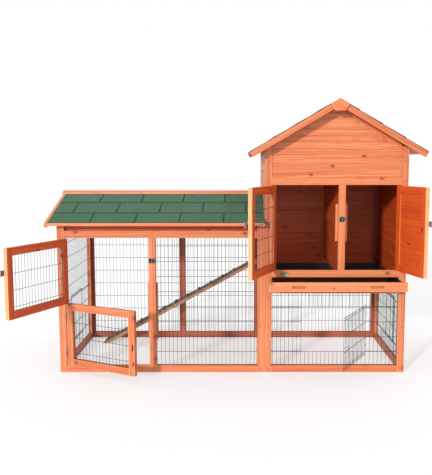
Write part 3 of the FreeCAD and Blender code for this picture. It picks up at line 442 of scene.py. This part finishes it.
class Builder:
    """Gathers solids into one mesh, with each board's own place, size and chance numbers."""

    def __init__(self):
        self.points = []
        self.faces = []
        self.slots = []
        self.smooth = []
        self.place = []
        self.half = []
        self.board = []

    def add(self, bm, slot_of=None, axes=None, smooth=False):
        along, across, through = axes or board_axes(bm)
        turn = np.array([along, across, through])
        here = np.array([vertex.co for vertex in bm.verts])
        local = here @ turn.T
        centre = (local.min(0) + local.max(0)) / 2
        half = (local.max(0) - local.min(0)) / 2
        chance = (rng.random(), rng.random(), rng.random())
        first = len(self.points)
        bm.verts.index_update()
        self.points.extend(here.tolist())
        self.place.extend((local - centre).tolist())
        self.half.extend([half.tolist()] * len(here))
        self.board.extend([chance] * len(here))
        for face in bm.faces:
            self.faces.append([first + vertex.index for vertex in face.verts])
            self.slots.append(slot_of(face.normal, face.calc_center_median()) if slot_of else 0)
            self.smooth.append(smooth)
        bm.free()

    def finish(self, name, materials, body, slot, stands_for=()):
        mesh = bpy.data.meshes.new(name)
        mesh.from_pydata(self.points, [], self.faces)
        for attribute, values in (("place", self.place), ("half", self.half),
                                  ("board", self.board)):
            layer = mesh.attributes.new(attribute, "FLOAT_VECTOR", "POINT")
            layer.data.foreach_set("vector", np.array(values, np.float32).ravel())
        for material in materials:
            mesh.materials.append(material)
        mesh.polygons.foreach_set("material_index", self.slots)
        mesh.polygons.foreach_set("use_smooth", self.smooth)
        mesh.update()
        piece = bpy.data.objects.new(name, mesh)
        scene.collection.objects.link(piece)
        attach(piece, body)
        if stands_for:
            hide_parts(*stands_for)


# ---------------------------------------------------------------- timber

EASE = 1.1 * MM
PLANK = 82 * MM
PLANK_JOINT = 0.8 * MM
TONGUE = 2.6 * MM
TONGUE_REACH = 3 * MM
TONGUE_END_GAP = 1 * MM
SHORTEST_TONGUE = 20 * MM
BOARDED = ("house_front_boards", "house_back_boards", "house_left_wall", "house_right_wall",
           "house_right_door_boards")
SAWN_PANELS = ("house_partition", "house_floor", "run_roof_boards", "house_roof_boards",
               "run_gable_board")


def tongue_over(board):
    """The tongue on a board's top edge, which fills the joint under the next board, if any."""
    top = max(vertex.co.z for vertex in board.verts)
    corners = [vertex.co.copy() for vertex in board.verts if vertex.co.z > top - 0.1 * MM]
    along = board_axes(board)[0]
    through = UP.cross(along).normalized()
    places = [corner.dot(along) for corner in corners]
    depths = [corner.dot(through) for corner in corners]
    if max(places) - min(places) < SHORTEST_TONGUE:
        return None
    level = (max(depths) + min(depths)) / 2
    start = min(places) + TONGUE_END_GAP
    end = max(places) - TONGUE_END_GAP
    low = top - TONGUE_REACH
    high = top + TONGUE_REACH
    upright = [along * place + through * (level - TONGUE / 2) + UP * height
               for place, height in ((start, low), (end, low), (end, high), (start, high))]
    tongue = slab(upright, through * -1, TONGUE)
    tongue.normal_update()
    return tongue


def make_timber(node, materials, slot_of=None):
    """Cut a timber node again with eased edges; wide panels are sawn into planks."""
    built = Builder()
    stack = solids(node)
    highest = max(point.z for points, faces in stack for point in points)
    for solid in stack:
        bm = as_bmesh(solid)
        bm.normal_update()
        axes = board_axes(bm)
        if node in BOARDED and max(point.z for point in solid[0]) < highest - MM:
            tongue = tongue_over(bm)
            if tongue:
                built.add(tongue, slot_of, axes)
        pieces = sawn(bm, axes[1], PLANK, PLANK_JOINT) if node in SAWN_PANELS else [bm]
        for piece in pieces:
            piece.normal_update()
            ease_edges(piece, EASE)
            piece.normal_update()
            built.add(piece, slot_of, axes)
    built.finish(f"{node}_look", materials, BODY_OF[node], SLOT_OF[node], [node])


def facing(direction):
    """Picks the second material on the faces that look along a direction."""
    direction = Vector(direction).normalized()
    return lambda normal, centre: 1 if normal.dot(direction) > FACING_LIMIT else 0


def facing_across(normal, centre):
    """Picks the second material on both of the faces that look across the hutch."""
    return 1 if abs(normal.x) > FACING_LIMIT else 0


def inner_side(door):
    """The way that a door's inner face looks: away from its hinge pin, square to the door."""
    points = [vertex.co for vertex in frame["nodes"][f"{door}_frame"].data.vertices]
    flat = np.array([(point.x, point.y) for point in points])
    centre = flat.mean(0)
    across = np.linalg.svd(flat - centre, full_matrices=False)[2][1]
    pin = np.array(JOINTS[f"{door}_swing"]["pos_m"][:2])
    if (centre - pin) @ across < 0:
        across = -across
    return Vector((across[0], across[1], 0))


def door_faces(door):
    """Picks the second material on a door's inner face and the third on its free edge."""
    inward = inner_side(door)
    outward = UP.cross(inward)
    points = [vertex.co for vertex in frame["nodes"][f"{door}_frame"].data.vertices]
    pin = Vector(JOINTS[f"{door}_swing"]["pos_m"])
    reach = [(point - pin).dot(outward) for point in points]
    if max(reach) + min(reach) < 0:
        outward = -outward
        reach = [-place for place in reach]
    free = max(reach) - 2 * MM

    def choose(normal, centre):
        if normal.dot(outward) > FACING_LIMIT and (centre - pin).dot(outward) > free:
            return 2
        return 1 if normal.dot(inward) > FACING_LIMIT else 0

    return choose


def make_all_timber(look):
    face, trim, inner, back = (look[name] for name in ("face", "trim", "inner", "back"))
    for node in ("run_front_stiles", "run_front_rails", "house_front_posts", "house_front_rails",
                 "house_centre_stile", "door_stops", "house_front_boards", "house_rake_boards"):
        make_timber(node, [face])
    for node in ("run_ridge_cap", "run_roof_trims"):
        make_timber(node, [trim])
    for node in ("run_roof_boards", "house_roof_boards", "run_roof_bearers", "run_gable_board",
                 "house_floor"):
        make_timber(node, [inner])
    make_timber("house_partition", [face, inner], facing_across)
    make_timber("house_left_wall", [face, inner], facing((1, 0, 0)))
    make_timber("house_right_wall", [face, inner], facing((-1, 0, 0)))
    make_timber("house_back_boards", [face, look["inside"]], facing((0, -1, 0)))
    make_timber("left_end_frame", [face, back], facing((1, 0, 0)))
    make_timber("right_end_frame", [face, back], facing((-1, 0, 0)))
    for node in ("run_back_frame", "house_back_frame"):
        make_timber(node, [face, back], facing((0, -1, 0)))
    for door in ("run_upper_door", "house_left_door", "house_right_door"):
        make_timber(f"{door}_frame", [face, inner, look["free_edge"]], door_faces(door))
    make_timber("run_lower_door_frame", [face, inner], facing(inner_side("run_lower_door")))
    make_timber("house_right_door_boards", [face, inner], facing(inner_side("house_right_door")))


# ---------------------------------------------------------------- tubes and wire

def tube(points, radius, sides=WIRE_SIDES):
    """A round wire through a list of points, with flat ends."""
    bm = bmesh.new()
    rings = []
    side = None
    for index, point in enumerate(points):
        before = points[max(index - 1, 0)]
        after = points[min(index + 1, len(points) - 1)]
        ahead = (after - before).normalized()
        if side is None:
            side = ahead.orthogonal().normalized()
        side = (side - ahead * side.dot(ahead)).normalized()
        other = ahead.cross(side)
        ring = []
        for step in range(sides):
            angle = math.tau * step / sides
            ring.append(bm.verts.new(point + (side * math.cos(angle)
                                              + other * math.sin(angle)) * radius))
        rings.append(ring)
    for low, high in zip(rings, rings[1:]):
        for step in range(sides):
            after = (step + 1) % sides
            bm.faces.new((low[step], low[after], high[after], high[step]))
    bm.faces.new(rings[0][::-1])
    bm.faces.new(rings[-1])
    bm.normal_update()
    return bm


def panel_axes(points):
    """The flat panel's centre, its level axis and its normal, which is level too."""
    flat = np.array([(point.x, point.y) for point in points])
    centre = flat.mean(0)
    level = np.linalg.svd(flat - centre, full_matrices=False)[2][0]
    across = Vector((level[0], level[1], 0)).normalized()
    return Vector((centre[0], centre[1], 0)), across, across.cross(UP)


def wire_centres(values, gap=3 * MM):
    """Middles of the clusters in a list of edge places: one cluster for each wire."""
    ordered = sorted(values)
    clusters = [[ordered[0]]]
    for value in ordered[1:]:
        if value - clusters[-1][-1] > gap:
            clusters.append([])
        clusters[-1].append(value)
    return [(cluster[0] + cluster[-1]) / 2 for cluster in clusters]


def add_grid(built, points):
    """Upright wires with cross wires welded into them, where the panel has its lines."""
    centre, across, normal = panel_axes(points)
    depth = [(point - centre).dot(normal) for point in points]
    middle = (min(depth) + max(depth)) / 2
    columns = wire_centres([(point - centre).dot(across) for point in points])
    rows = wire_centres([point.z for point in points])
    low, high = rows[0], rows[-1]
    left, right = columns[0], columns[-1]
    for column in columns:
        foot = centre + across * column + normal * (middle + WELD_DEPTH)
        built.add(tube([foot + UP * low, foot + UP * high], UPRIGHT_RADIUS), smooth=True)
    for row in rows:
        foot = centre + normal * (middle - WELD_DEPTH) + UP * row
        built.add(tube([foot + across * left, foot + across * right], CROSS_RADIUS), smooth=True)


def add_loop(built, points):
    """A hinge loop: wire wound three and a half times round the door's upright."""
    low = min(point.z for point in points)
    high = max(point.z for point in points)
    xs = [point.x for point in points]
    ys = [point.y for point in points]
    wide = max(xs) - min(xs)
    deep = max(ys) - min(ys)
    size = min(wide, deep)
    # the loop's round part is as far from its own free side as the short side's half
    centre_x = (min(xs) + max(xs)) / 2 if wide <= deep else nearer(xs, size)
    centre_y = (min(ys) + max(ys)) / 2 if deep <= wide else nearer(ys, size)
    turns = 3.5
    steps = 48
    winding = []
    for step in range(steps + 1):
        angle = math.tau * turns * step / steps
        winding.append(Vector((centre_x + HINGE_WINDING_RADIUS * math.cos(angle),
                               centre_y + HINGE_WINDING_RADIUS * math.sin(angle),
                               low + (high - low) * step / steps)))
    built.add(tube(winding, HINGE_WIRE_RADIUS, 6), smooth=True)


def nearer(values, size):
    """The round part's centre along the axis on which the loop has its tail."""
    low = min(values)
    high = max(values)
    crowd_low = sum(1 for value in values if value < low + size)
    crowd_high = sum(1 for value in values if value > high - size)
    return low + size / 2 if crowd_low >= crowd_high else high - size / 2


def make_wire(node, look):
    """Rebuild a wire node as round wires."""
    built = Builder()
    for points, faces in solids(node):
        tall = max(point.z for point in points) - min(point.z for point in points)
        if tall < TALLEST_LOOP:
            add_loop(built, points)
        else:
            add_grid(built, points)
    built.finish(f"{node}_look", [look["wire"]], BODY_OF[node], SLOT_OF[node], [node])


def bent(corners, radius, steps=5):
    """A path with its corners turned on arcs of about a radius."""
    path = [corners[0]]
    for before, corner, after in zip(corners, corners[1:], corners[2:]):
        start = corner + (before - corner).normalized() * radius
        end = corner + (after - corner).normalized() * radius
        for step in range(steps + 1):
            share = step / steps
            path.append(start.lerp(corner, share).lerp(corner.lerp(end, share), share))
    path.append(corners[-1])
    return path


def make_wire_latch(node, look):
    """One length of wire bent into a long hoop, with a raised grip at one end."""
    points = [vertex.co for vertex in frame["nodes"][node].data.vertices]
    centre, across, normal = panel_axes(points)
    along = [(point - centre).dot(across) for point in points]
    depth = [(point - centre).dot(normal) for point in points]
    if sum(depth) / len(depth) < (min(depth) + max(depth)) / 2:
        base_depth, grip_depth = min(depth) + MM, max(depth) - MM
    else:
        base_depth, grip_depth = max(depth) - MM, min(depth) + MM
    proud = [place for place, deep in zip(along, depth) if abs(deep - grip_depth) < 1.5 * MM]
    grip = sum(proud) / len(proud)
    tail = min(along) + MM if grip > (min(along) + max(along)) / 2 else max(along) - MM
    low = min(point.z for point in points) + MM
    high = max(point.z for point in points) - MM
    grip += MM if tail > grip else -MM
    root = grip + (6 * MM if tail > grip else -6 * MM)

    def at(place, deep, height):
        return centre + across * place + normal * deep + UP * height

    corners = [at(tail, base_depth, low), at(root, base_depth, low), at(grip, grip_depth, low),
               at(grip, grip_depth, high), at(root, base_depth, high), at(tail, base_depth, high)]
    built = Builder()
    built.add(tube(bent(corners, 2.2 * MM), LATCH_WIRE_RADIUS), smooth=True)
    built.finish(f"{node}_look", [look["steel"]], BODY_OF[node], SLOT_OF[node], [node])


def make_all_wire(look):
    for node in ("run_front_mesh", "back_mesh", "left_end_mesh", "right_end_mesh",
                 "lower_front_mesh", "run_upper_door_mesh", "run_lower_door_mesh",
                 "house_left_door_mesh", "front_wire_door", "left_wire_door", "right_wire_door"):
        make_wire(node, look)
    for node in ("front_wire_latch", "left_wire_latch", "right_wire_latch"):
        make_wire_latch(node, look)


# ---------------------------------------------------------------- felt

TAB_WIDTH = 215 * MM
TAB_CUT = 11 * MM
TAB_JOINT = 5.5 * MM
TAB_THICKNESS = 2.2 * MM
TAB_HEAD_LAP = 14 * MM
TAB_HEAD_DEPTH = 0.9 * MM
NARROWEST_TAB = 12 * MM
SHEET_DEPTH = 1.6 * MM
SHEET_THICKNESS = 0.8 * MM
RUN_COURSES = (0, 0.295, 0.632, 1)
HOUSE_COURSES = (0, 0.26, 0.52, 0.78, 1)


def make_shingles(node, ridge_axis, courses, look):
    """Lay staggered felt tabs over both slopes of a roof.

    courses are the shares of the slope, up from the eave, at which the courses' toes lie.
    """
    built = Builder()
    for points, faces in solids(node):
        centre = sum(points, Vector()) / len(points)
        run = Vector((1, 0, 0)) if ridge_axis == "x" else Vector((0, 1, 0))
        level = UP.cross(run)
        top = max(points, key=lambda point: point.z)
        low_point = min(points, key=lambda point: point.z)
        down = low_point - top
        down -= run * down.dot(run)
        if level.dot(down) < 0:
            level = -level
        upper = [point for point in points if point.z > top.z - 0.4 * MM]
        ridge = max(upper, key=lambda point: point.z)
        reach = max((point - ridge).dot(level) for point in points)
        outer = max((point for point in points if (point - ridge).dot(level) > reach - 4 * MM),
                    key=lambda point: point.z)
        slope = outer - ridge
        slope -= run * slope.dot(run)
        length = slope.length
        slope.normalize()
        normal = run.cross(slope)
        if normal.z < 0:
            normal = -normal
        starts = [(point - centre).dot(run) for point in points]
        first, last = min(starts), max(starts)
        origin = ridge - run * (ridge - centre).dot(run)
        for course, (toe, head) in enumerate(zip(courses, courses[1:])):
            near = length * (1 - toe)
            far = length * (1 - head) - TAB_HEAD_LAP
            offset = TAB_CUT + (TAB_WIDTH / 2 if course % 2 else 0)
            edge = first - offset
            while edge < last:
                left = max(first, edge + TAB_JOINT / 2)
                right = min(last, edge + TAB_WIDTH - TAB_JOINT / 2)
                if right - left > NARROWEST_TAB:
                    lift = (0.15 + 0.35 * rng.random()) * MM
                    slip = 1.2 * MM * rng.random()
                    add_tab(built, origin, run, slope, normal, left, right,
                            near - slip, max(far, 0), lift, course)
                edge += TAB_WIDTH
        add_sheet(built, origin, run, slope, normal, first, last, length)
    built.finish(f"{node}_look", [look["felt"], look["felt_cut_and_joint_shade"]], BODY_OF[node], SLOT_OF[node],
                 [node])


def slab(corners, normal, thickness):
    """A thin slab under four corners."""
    bm = bmesh.new()
    upper = [bm.verts.new(corner) for corner in corners]
    lower = [bm.verts.new(corner - normal * thickness) for corner in corners]
    bm.faces.new(upper)
    bm.faces.new(lower[::-1])
    for index in range(len(corners)):
        after = (index + 1) % len(corners)
        bm.faces.new((upper[after], upper[index], lower[index], lower[after]))
    bmesh.ops.recalc_face_normals(bm, faces=bm.faces)
    return bm


def add_tab(built, origin, run, slope, normal, left, right, near, far, lift, course):
    """One tab: its exposed edge stands on the course below, its head lies under the next."""
    toe = (1.9 * MM if course else 0.9 * MM) + lift
    corners = [origin + run * along + slope * down + normal * height
               for along, down, height in ((left, near, toe), (right, near, toe),
                                           (right, far, -TAB_HEAD_DEPTH),
                                           (left, far, -TAB_HEAD_DEPTH))]
    bm = slab(corners, normal, TAB_THICKNESS)
    bm.normal_update()
    # the tab's sides take the black: bitumen at the cut edges, and a painted shadow line under the toe
    built.add(bm, lambda side, place: 0 if side.dot(normal) > FACING_LIMIT else 1,
              (run, slope, normal))


def add_sheet(built, origin, run, slope, normal, first, last, length):
    """The underlay that closes the joints between the tabs, all black as painted shade in the joints."""
    corners = [origin + run * along + slope * down - normal * SHEET_DEPTH
               for along, down in ((first, 0), (last, 0), (last, length), (first, length))]
    bm = slab(corners, normal, SHEET_THICKNESS)
    bm.normal_update()
    built.add(bm, lambda side, place: 1, (run, slope, normal))


# ---------------------------------------------------------------- hardware

def make_metal(node, material, ease=0.25 * MM):
    """Plain metal parts with their edges broken."""
    built = Builder()
    for solid in solids(node):
        bm = as_bmesh(solid)
        bm.normal_update()
        ease_edges(bm, ease)
        bm.normal_update()
        built.add(bm)
    built.finish(f"{node}_look", [material], BODY_OF[node], SLOT_OF[node], [node])


def turned(profile, centre, axis, sides=28, wave=0.0, petals=0):
    """A turned shape: profile points (distance out along the axis, radius), with a wavy rim."""
    axis = Vector(axis).normalized()
    side = axis.orthogonal().normalized()
    other = axis.cross(side)
    bm = bmesh.new()
    rings = []
    for out, radius in profile:
        ring = []
        for step in range(sides):
            angle = math.tau * step / sides
            reach = radius * (1 + wave * math.cos(petals * angle))
            ring.append(bm.verts.new(centre + axis * out + (side * math.cos(angle)
                                                            + other * math.sin(angle)) * reach))
        rings.append(ring)
    for low, high in zip(rings, rings[1:]):
        for step in range(sides):
            after = (step + 1) % sides
            bm.faces.new((low[step], low[after], high[after], high[step]))
    bm.faces.new(rings[0][::-1])
    bm.faces.new(rings[-1])
    bmesh.ops.recalc_face_normals(bm, faces=bm.faces)
    bm.normal_update()
    return bm


def middle(points):
    """The middle and the size of the box round some points."""
    low = Vector([min(point[axis] for point in points) for axis in range(3)])
    high = Vector([max(point[axis] for point in points) for axis in range(3)])
    return (low + high) / 2, high - low


def make_screws(look):
    """Pan-head screws: a domed head with a cross recess, drawn as a dark cross of painted shade."""
    built = Builder()
    for points, faces in solids("screw_heads"):
        centre, size = middle(points)
        seat = centre + Vector((0, size.y / 2, 0))
        profile = [(0, 3.4 * MM), (0.35 * MM, 3.35 * MM), (0.65 * MM, 2.6 * MM),
                   (0.8 * MM, 1.2 * MM)]
        built.add(turned(profile, seat, FRONT, 20), smooth=True)
        turn = rng.random() * math.pi
        # the cross sits on the dome, not sunk into it; its dark steel paints the shade in the recess
        for quarter in (0, math.pi / 2):
            along = Vector((math.cos(turn + quarter), 0, math.sin(turn + quarter)))
            across = Vector((-along.z, 0, along.x))
            face = seat + FRONT * 0.84 * MM
            corners = [face + along * end * 2.1 * MM + across * edge * 0.3 * MM
                       for end, edge in ((-1, -1), (1, -1), (1, 1), (-1, 1))]
            bm = slab(corners, FRONT, 0.3 * MM)
            bm.normal_update()
            built.add(bm, lambda normal, place: 1)
    built.finish("screw_heads_look", [look["steel"], look["dark_steel_and_recess_shade"]], "hutch", "hardware",
                 ["screw_heads"])


def make_latch_bases(look):
    """A plain plate for the run's knob, and a pressed rosette for the house's."""
    built = Builder()
    for points, faces in solids("latch_bases"):
        centre, size = middle(points)
        seat = centre + Vector((0, size.y / 2, 0))
        if size.x - size.z > 4 * MM:
            rail_radius = 0.8 * MM
            sunk = 0.6 * MM
            bm = bmesh.new()
            bmesh.ops.create_cube(bm, size=1, matrix=Matrix.Translation(centre - FRONT * sunk / 2)
                                  @ Matrix.Diagonal((size.x, size.y - sunk, size.z, 1)))
            ease_edges(bm, 0.3 * MM)
            bm.normal_update()
            built.add(bm, lambda normal, place: 1)
            # the rails stand on the sunk plate and end level with the model's own face
            face_centre = centre + FRONT * (size.y / 2 - rail_radius)
            for level in (-0.32, 0.32):
                rail = tube([face_centre + Vector((-0.42 * size.x, 0, level * size.z)),
                             face_centre + Vector((0.42 * size.x, 0, level * size.z))],
                            rail_radius)
                built.add(rail, smooth=True)
        else:
            radius = size.z / 2
            profile = [(0, 0.96 * radius), (0.5 * MM, radius), (1.0 * MM, 0.93 * radius),
                       (0.7 * MM, 0.80 * radius), (0.9 * MM, 0.62 * radius),
                       (1.5 * MM, 0.52 * radius), (1.5 * MM, 0.42 * radius),
                       (1.0 * MM, 0.34 * radius)]
            built.add(turned(profile, seat, FRONT, 64, wave=0.05, petals=8),
                      lambda normal, place: 1 if (place - seat).length < 0.75 * radius else 0,
                      smooth=True)
    built.finish("latch_bases_look", [look["steel"], look["dark_steel_and_recess_shade"]], "hutch", "hardware",
                 ["latch_bases"])


def make_plaque(look):
    """A blank oval plate: a raised rim, a sunk field and two rivets."""
    low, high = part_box("blank_plaque")
    centre = (low + high) / 2
    seat = Vector((centre.x, high.y, centre.z))
    wide = (high.x - low.x) / 2
    tall = (high.z - low.z) / 2
    profile = [(0, 1.0), (1.1 * MM, 1.0), (1.5 * MM, 0.95), (1.5 * MM, 0.88), (1.0 * MM, 0.82),
               (0.9 * MM, 0.5), (1.0 * MM, 0.1)]
    bm = turned([(out, radius * wide) for out, radius in profile], seat, FRONT, 56)
    for vertex in bm.verts:
        vertex.co.z = centre.z + (vertex.co.z - centre.z) * tall / wide
    bm.normal_update()
    built = Builder()
    built.add(bm, smooth=True)
    for side in (-1, 1):
        rivet = seat + Vector((side * 0.72 * wide, -0.9 * MM, 0))
        profile = [(0, 1.3 * MM), (0.4 * MM, 1.0 * MM), (0.55 * MM, 0.4 * MM)]
        built.add(turned(profile, rivet, FRONT, 14), smooth=True)
    built.finish("blank_plaque_look", [look["plaque"]], "hutch", "plaque", ["blank_plaque"])


def make_all_hardware(look):
    for node in ("hinge_frame_leaves", "ramp_hinge", "run_upper_door_hardware",
                 "run_lower_door_hardware", "house_left_door_hardware",
                 "house_right_door_hardware", "run_latch_knob", "house_latch_knob"):
        make_metal(node, look["steel"])
    make_metal("run_lower_door_button", look["dark_steel_and_recess_shade"], 0.5 * MM)
    make_screws(look)
    make_latch_bases(look)
    make_plaque(look)


# ---------------------------------------------------------------- tray and ramp

def make_tray(look):
    """The pan with its edges rolled, and the front board with routed finger recesses."""
    make_metal("tray_pan", look["enamel"], 0.8 * MM)

    low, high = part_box("tray_front")
    size = high - low
    centre = (low + high) / 2
    board = bmesh.new()
    bmesh.ops.create_cube(board, size=1, matrix=Matrix.Translation(centre)
                          @ Matrix.Diagonal((size.x, size.y, size.z, 1)))
    mesh = bpy.data.meshes.new("tray_front_blank")
    board.to_mesh(mesh)
    board.free()
    blank = bpy.data.objects.new("tray_front_blank", mesh)
    scene.collection.objects.link(blank)
    recess_depth = 7 * MM
    recess_offset = 186.5 * MM
    recess_length = 66 * MM
    recess_height = 12 * MM
    cutters = []
    for side in (-1, 1):
        cutter = rounded_slot(centre.x + side * recess_offset, centre.z, low.y - MM,
                              low.y + recess_depth, recess_length, recess_height)
        cutters.append(cutter)
        modifier = blank.modifiers.new("recess", "BOOLEAN")
        modifier.operation = "DIFFERENCE"
        modifier.solver = "EXACT"
        modifier.object = cutter
    bpy.context.view_layer.update()
    routed = bpy.data.meshes.new_from_object(
        blank.evaluated_get(bpy.context.evaluated_depsgraph_get()))
    for item in cutters + [blank]:
        bpy.data.objects.remove(item)
    bm = bmesh.new()
    bm.from_mesh(routed)
    bpy.data.meshes.remove(routed)
    bmesh.ops.remove_doubles(bm, verts=bm.verts, dist=1e-6)
    bm.normal_update()
    ease_edges(bm, 0.9 * MM)
    bm.normal_update()
    front_y = low.y

    def in_recess(normal, place):
        deep = front_y + 1.5 * MM < place.y < front_y + recess_depth + MM
        along = abs(abs(place.x - centre.x) - recess_offset) < recess_length / 2 + MM
        level = abs(place.z - centre.z) < recess_height / 2 + MM
        return 1 if deep and along and level else 0

    built = Builder()
    built.add(bm, in_recess, (Vector((1, 0, 0)), UP, FRONT))
    built.finish("tray_front_look", [look["trim"], look["recess"]], "tray", "timber",
                 ["tray_front"])


def rounded_slot(x, z, near_y, far_y, length, height, steps=10):
    """A round-ended bar along x that cuts one finger recess."""
    outline = []
    radius = height / 2
    for side in (1, -1):
        for step in range(steps + 1):
            angle = -math.pi / 2 + math.pi * step / steps
            outline.append((x + side * (length / 2 - radius + radius * math.cos(angle)),
                            z + side * radius * math.sin(angle)))
    bm = bmesh.new()
    rings = [[bm.verts.new((across, y, height_at)) for across, height_at in outline]
             for y in (near_y, far_y)]
    for index in range(len(outline)):
        after = (index + 1) % len(outline)
        bm.faces.new((rings[0][index], rings[0][after], rings[1][after], rings[1][index]))
    bm.faces.new(rings[0][::-1])
    bm.faces.new(rings[1])
    bmesh.ops.recalc_face_normals(bm, faces=bm.faces)
    mesh = bpy.data.meshes.new("recess_cutter")
    bm.to_mesh(mesh)
    bm.free()
    cutter = bpy.data.objects.new("recess_cutter", mesh)
    scene.collection.objects.link(cutter)
    return cutter


def make_ramp(look):
    """The board and its cleats, with the walking side weathered."""
    walking_side = (-0.48, 0, 0.88)
    for node in ("ramp_board", "ramp_cleats"):
        make_timber(node, [look["ramp_side"], look["ramp_top"]], facing(walking_side))


# ---------------------------------------------------------------- studio

def make_studio():
    """A pale floor that glows a little, under a white sky, with a low sun from the front left."""
    floor_mesh = bpy.data.meshes.new("floor")
    reach = 30.0
    floor_mesh.from_pydata([(-reach, -reach, 0), (reach, -reach, 0), (reach, reach, 0),
                            (-reach, reach, 0)], [], [(0, 1, 2, 3)])
    graph = Graph("pale_floor")
    graph.shader.inputs["Emission Color"].default_value = (1, 1, 1, 1)
    floor_mesh.materials.append(graph.finish((0.42, 0.42, 0.42, 1), 0.95, Emission_Strength=0.5))
    floor = bpy.data.objects.new("floor", floor_mesh)
    floor.location.z = -0.4 * MM
    scene.collection.objects.link(floor)

    world = bpy.data.worlds.new("white_sky")
    world.use_nodes = True
    world.node_tree.nodes["Background"].inputs["Color"].default_value = (1, 1, 1, 1)
    world.node_tree.nodes["Background"].inputs["Strength"].default_value = 1.0
    scene.world = world

    key = bpy.data.lights.new("key", "SUN")
    key.energy = 2.9
    key.angle = math.radians(5)
    key_object = bpy.data.objects.new("key", key)
    sunbeam = Vector((0.55, 1.0, -0.31))
    key_object.rotation_euler = sunbeam.to_track_quat("-Z", "Y").to_euler()
    scene.collection.objects.link(key_object)
    scene.view_settings.view_transform = "Standard"


make_camera()
look = make_materials()
make_all_timber(look)
make_all_wire(look)
make_shingles("run_roof_felt", "x", RUN_COURSES, look)
make_shingles("house_roof_felt", "y", HOUSE_COURSES, look)
make_all_hardware(look)
make_tray(look)
make_ramp(look)
make_studio()
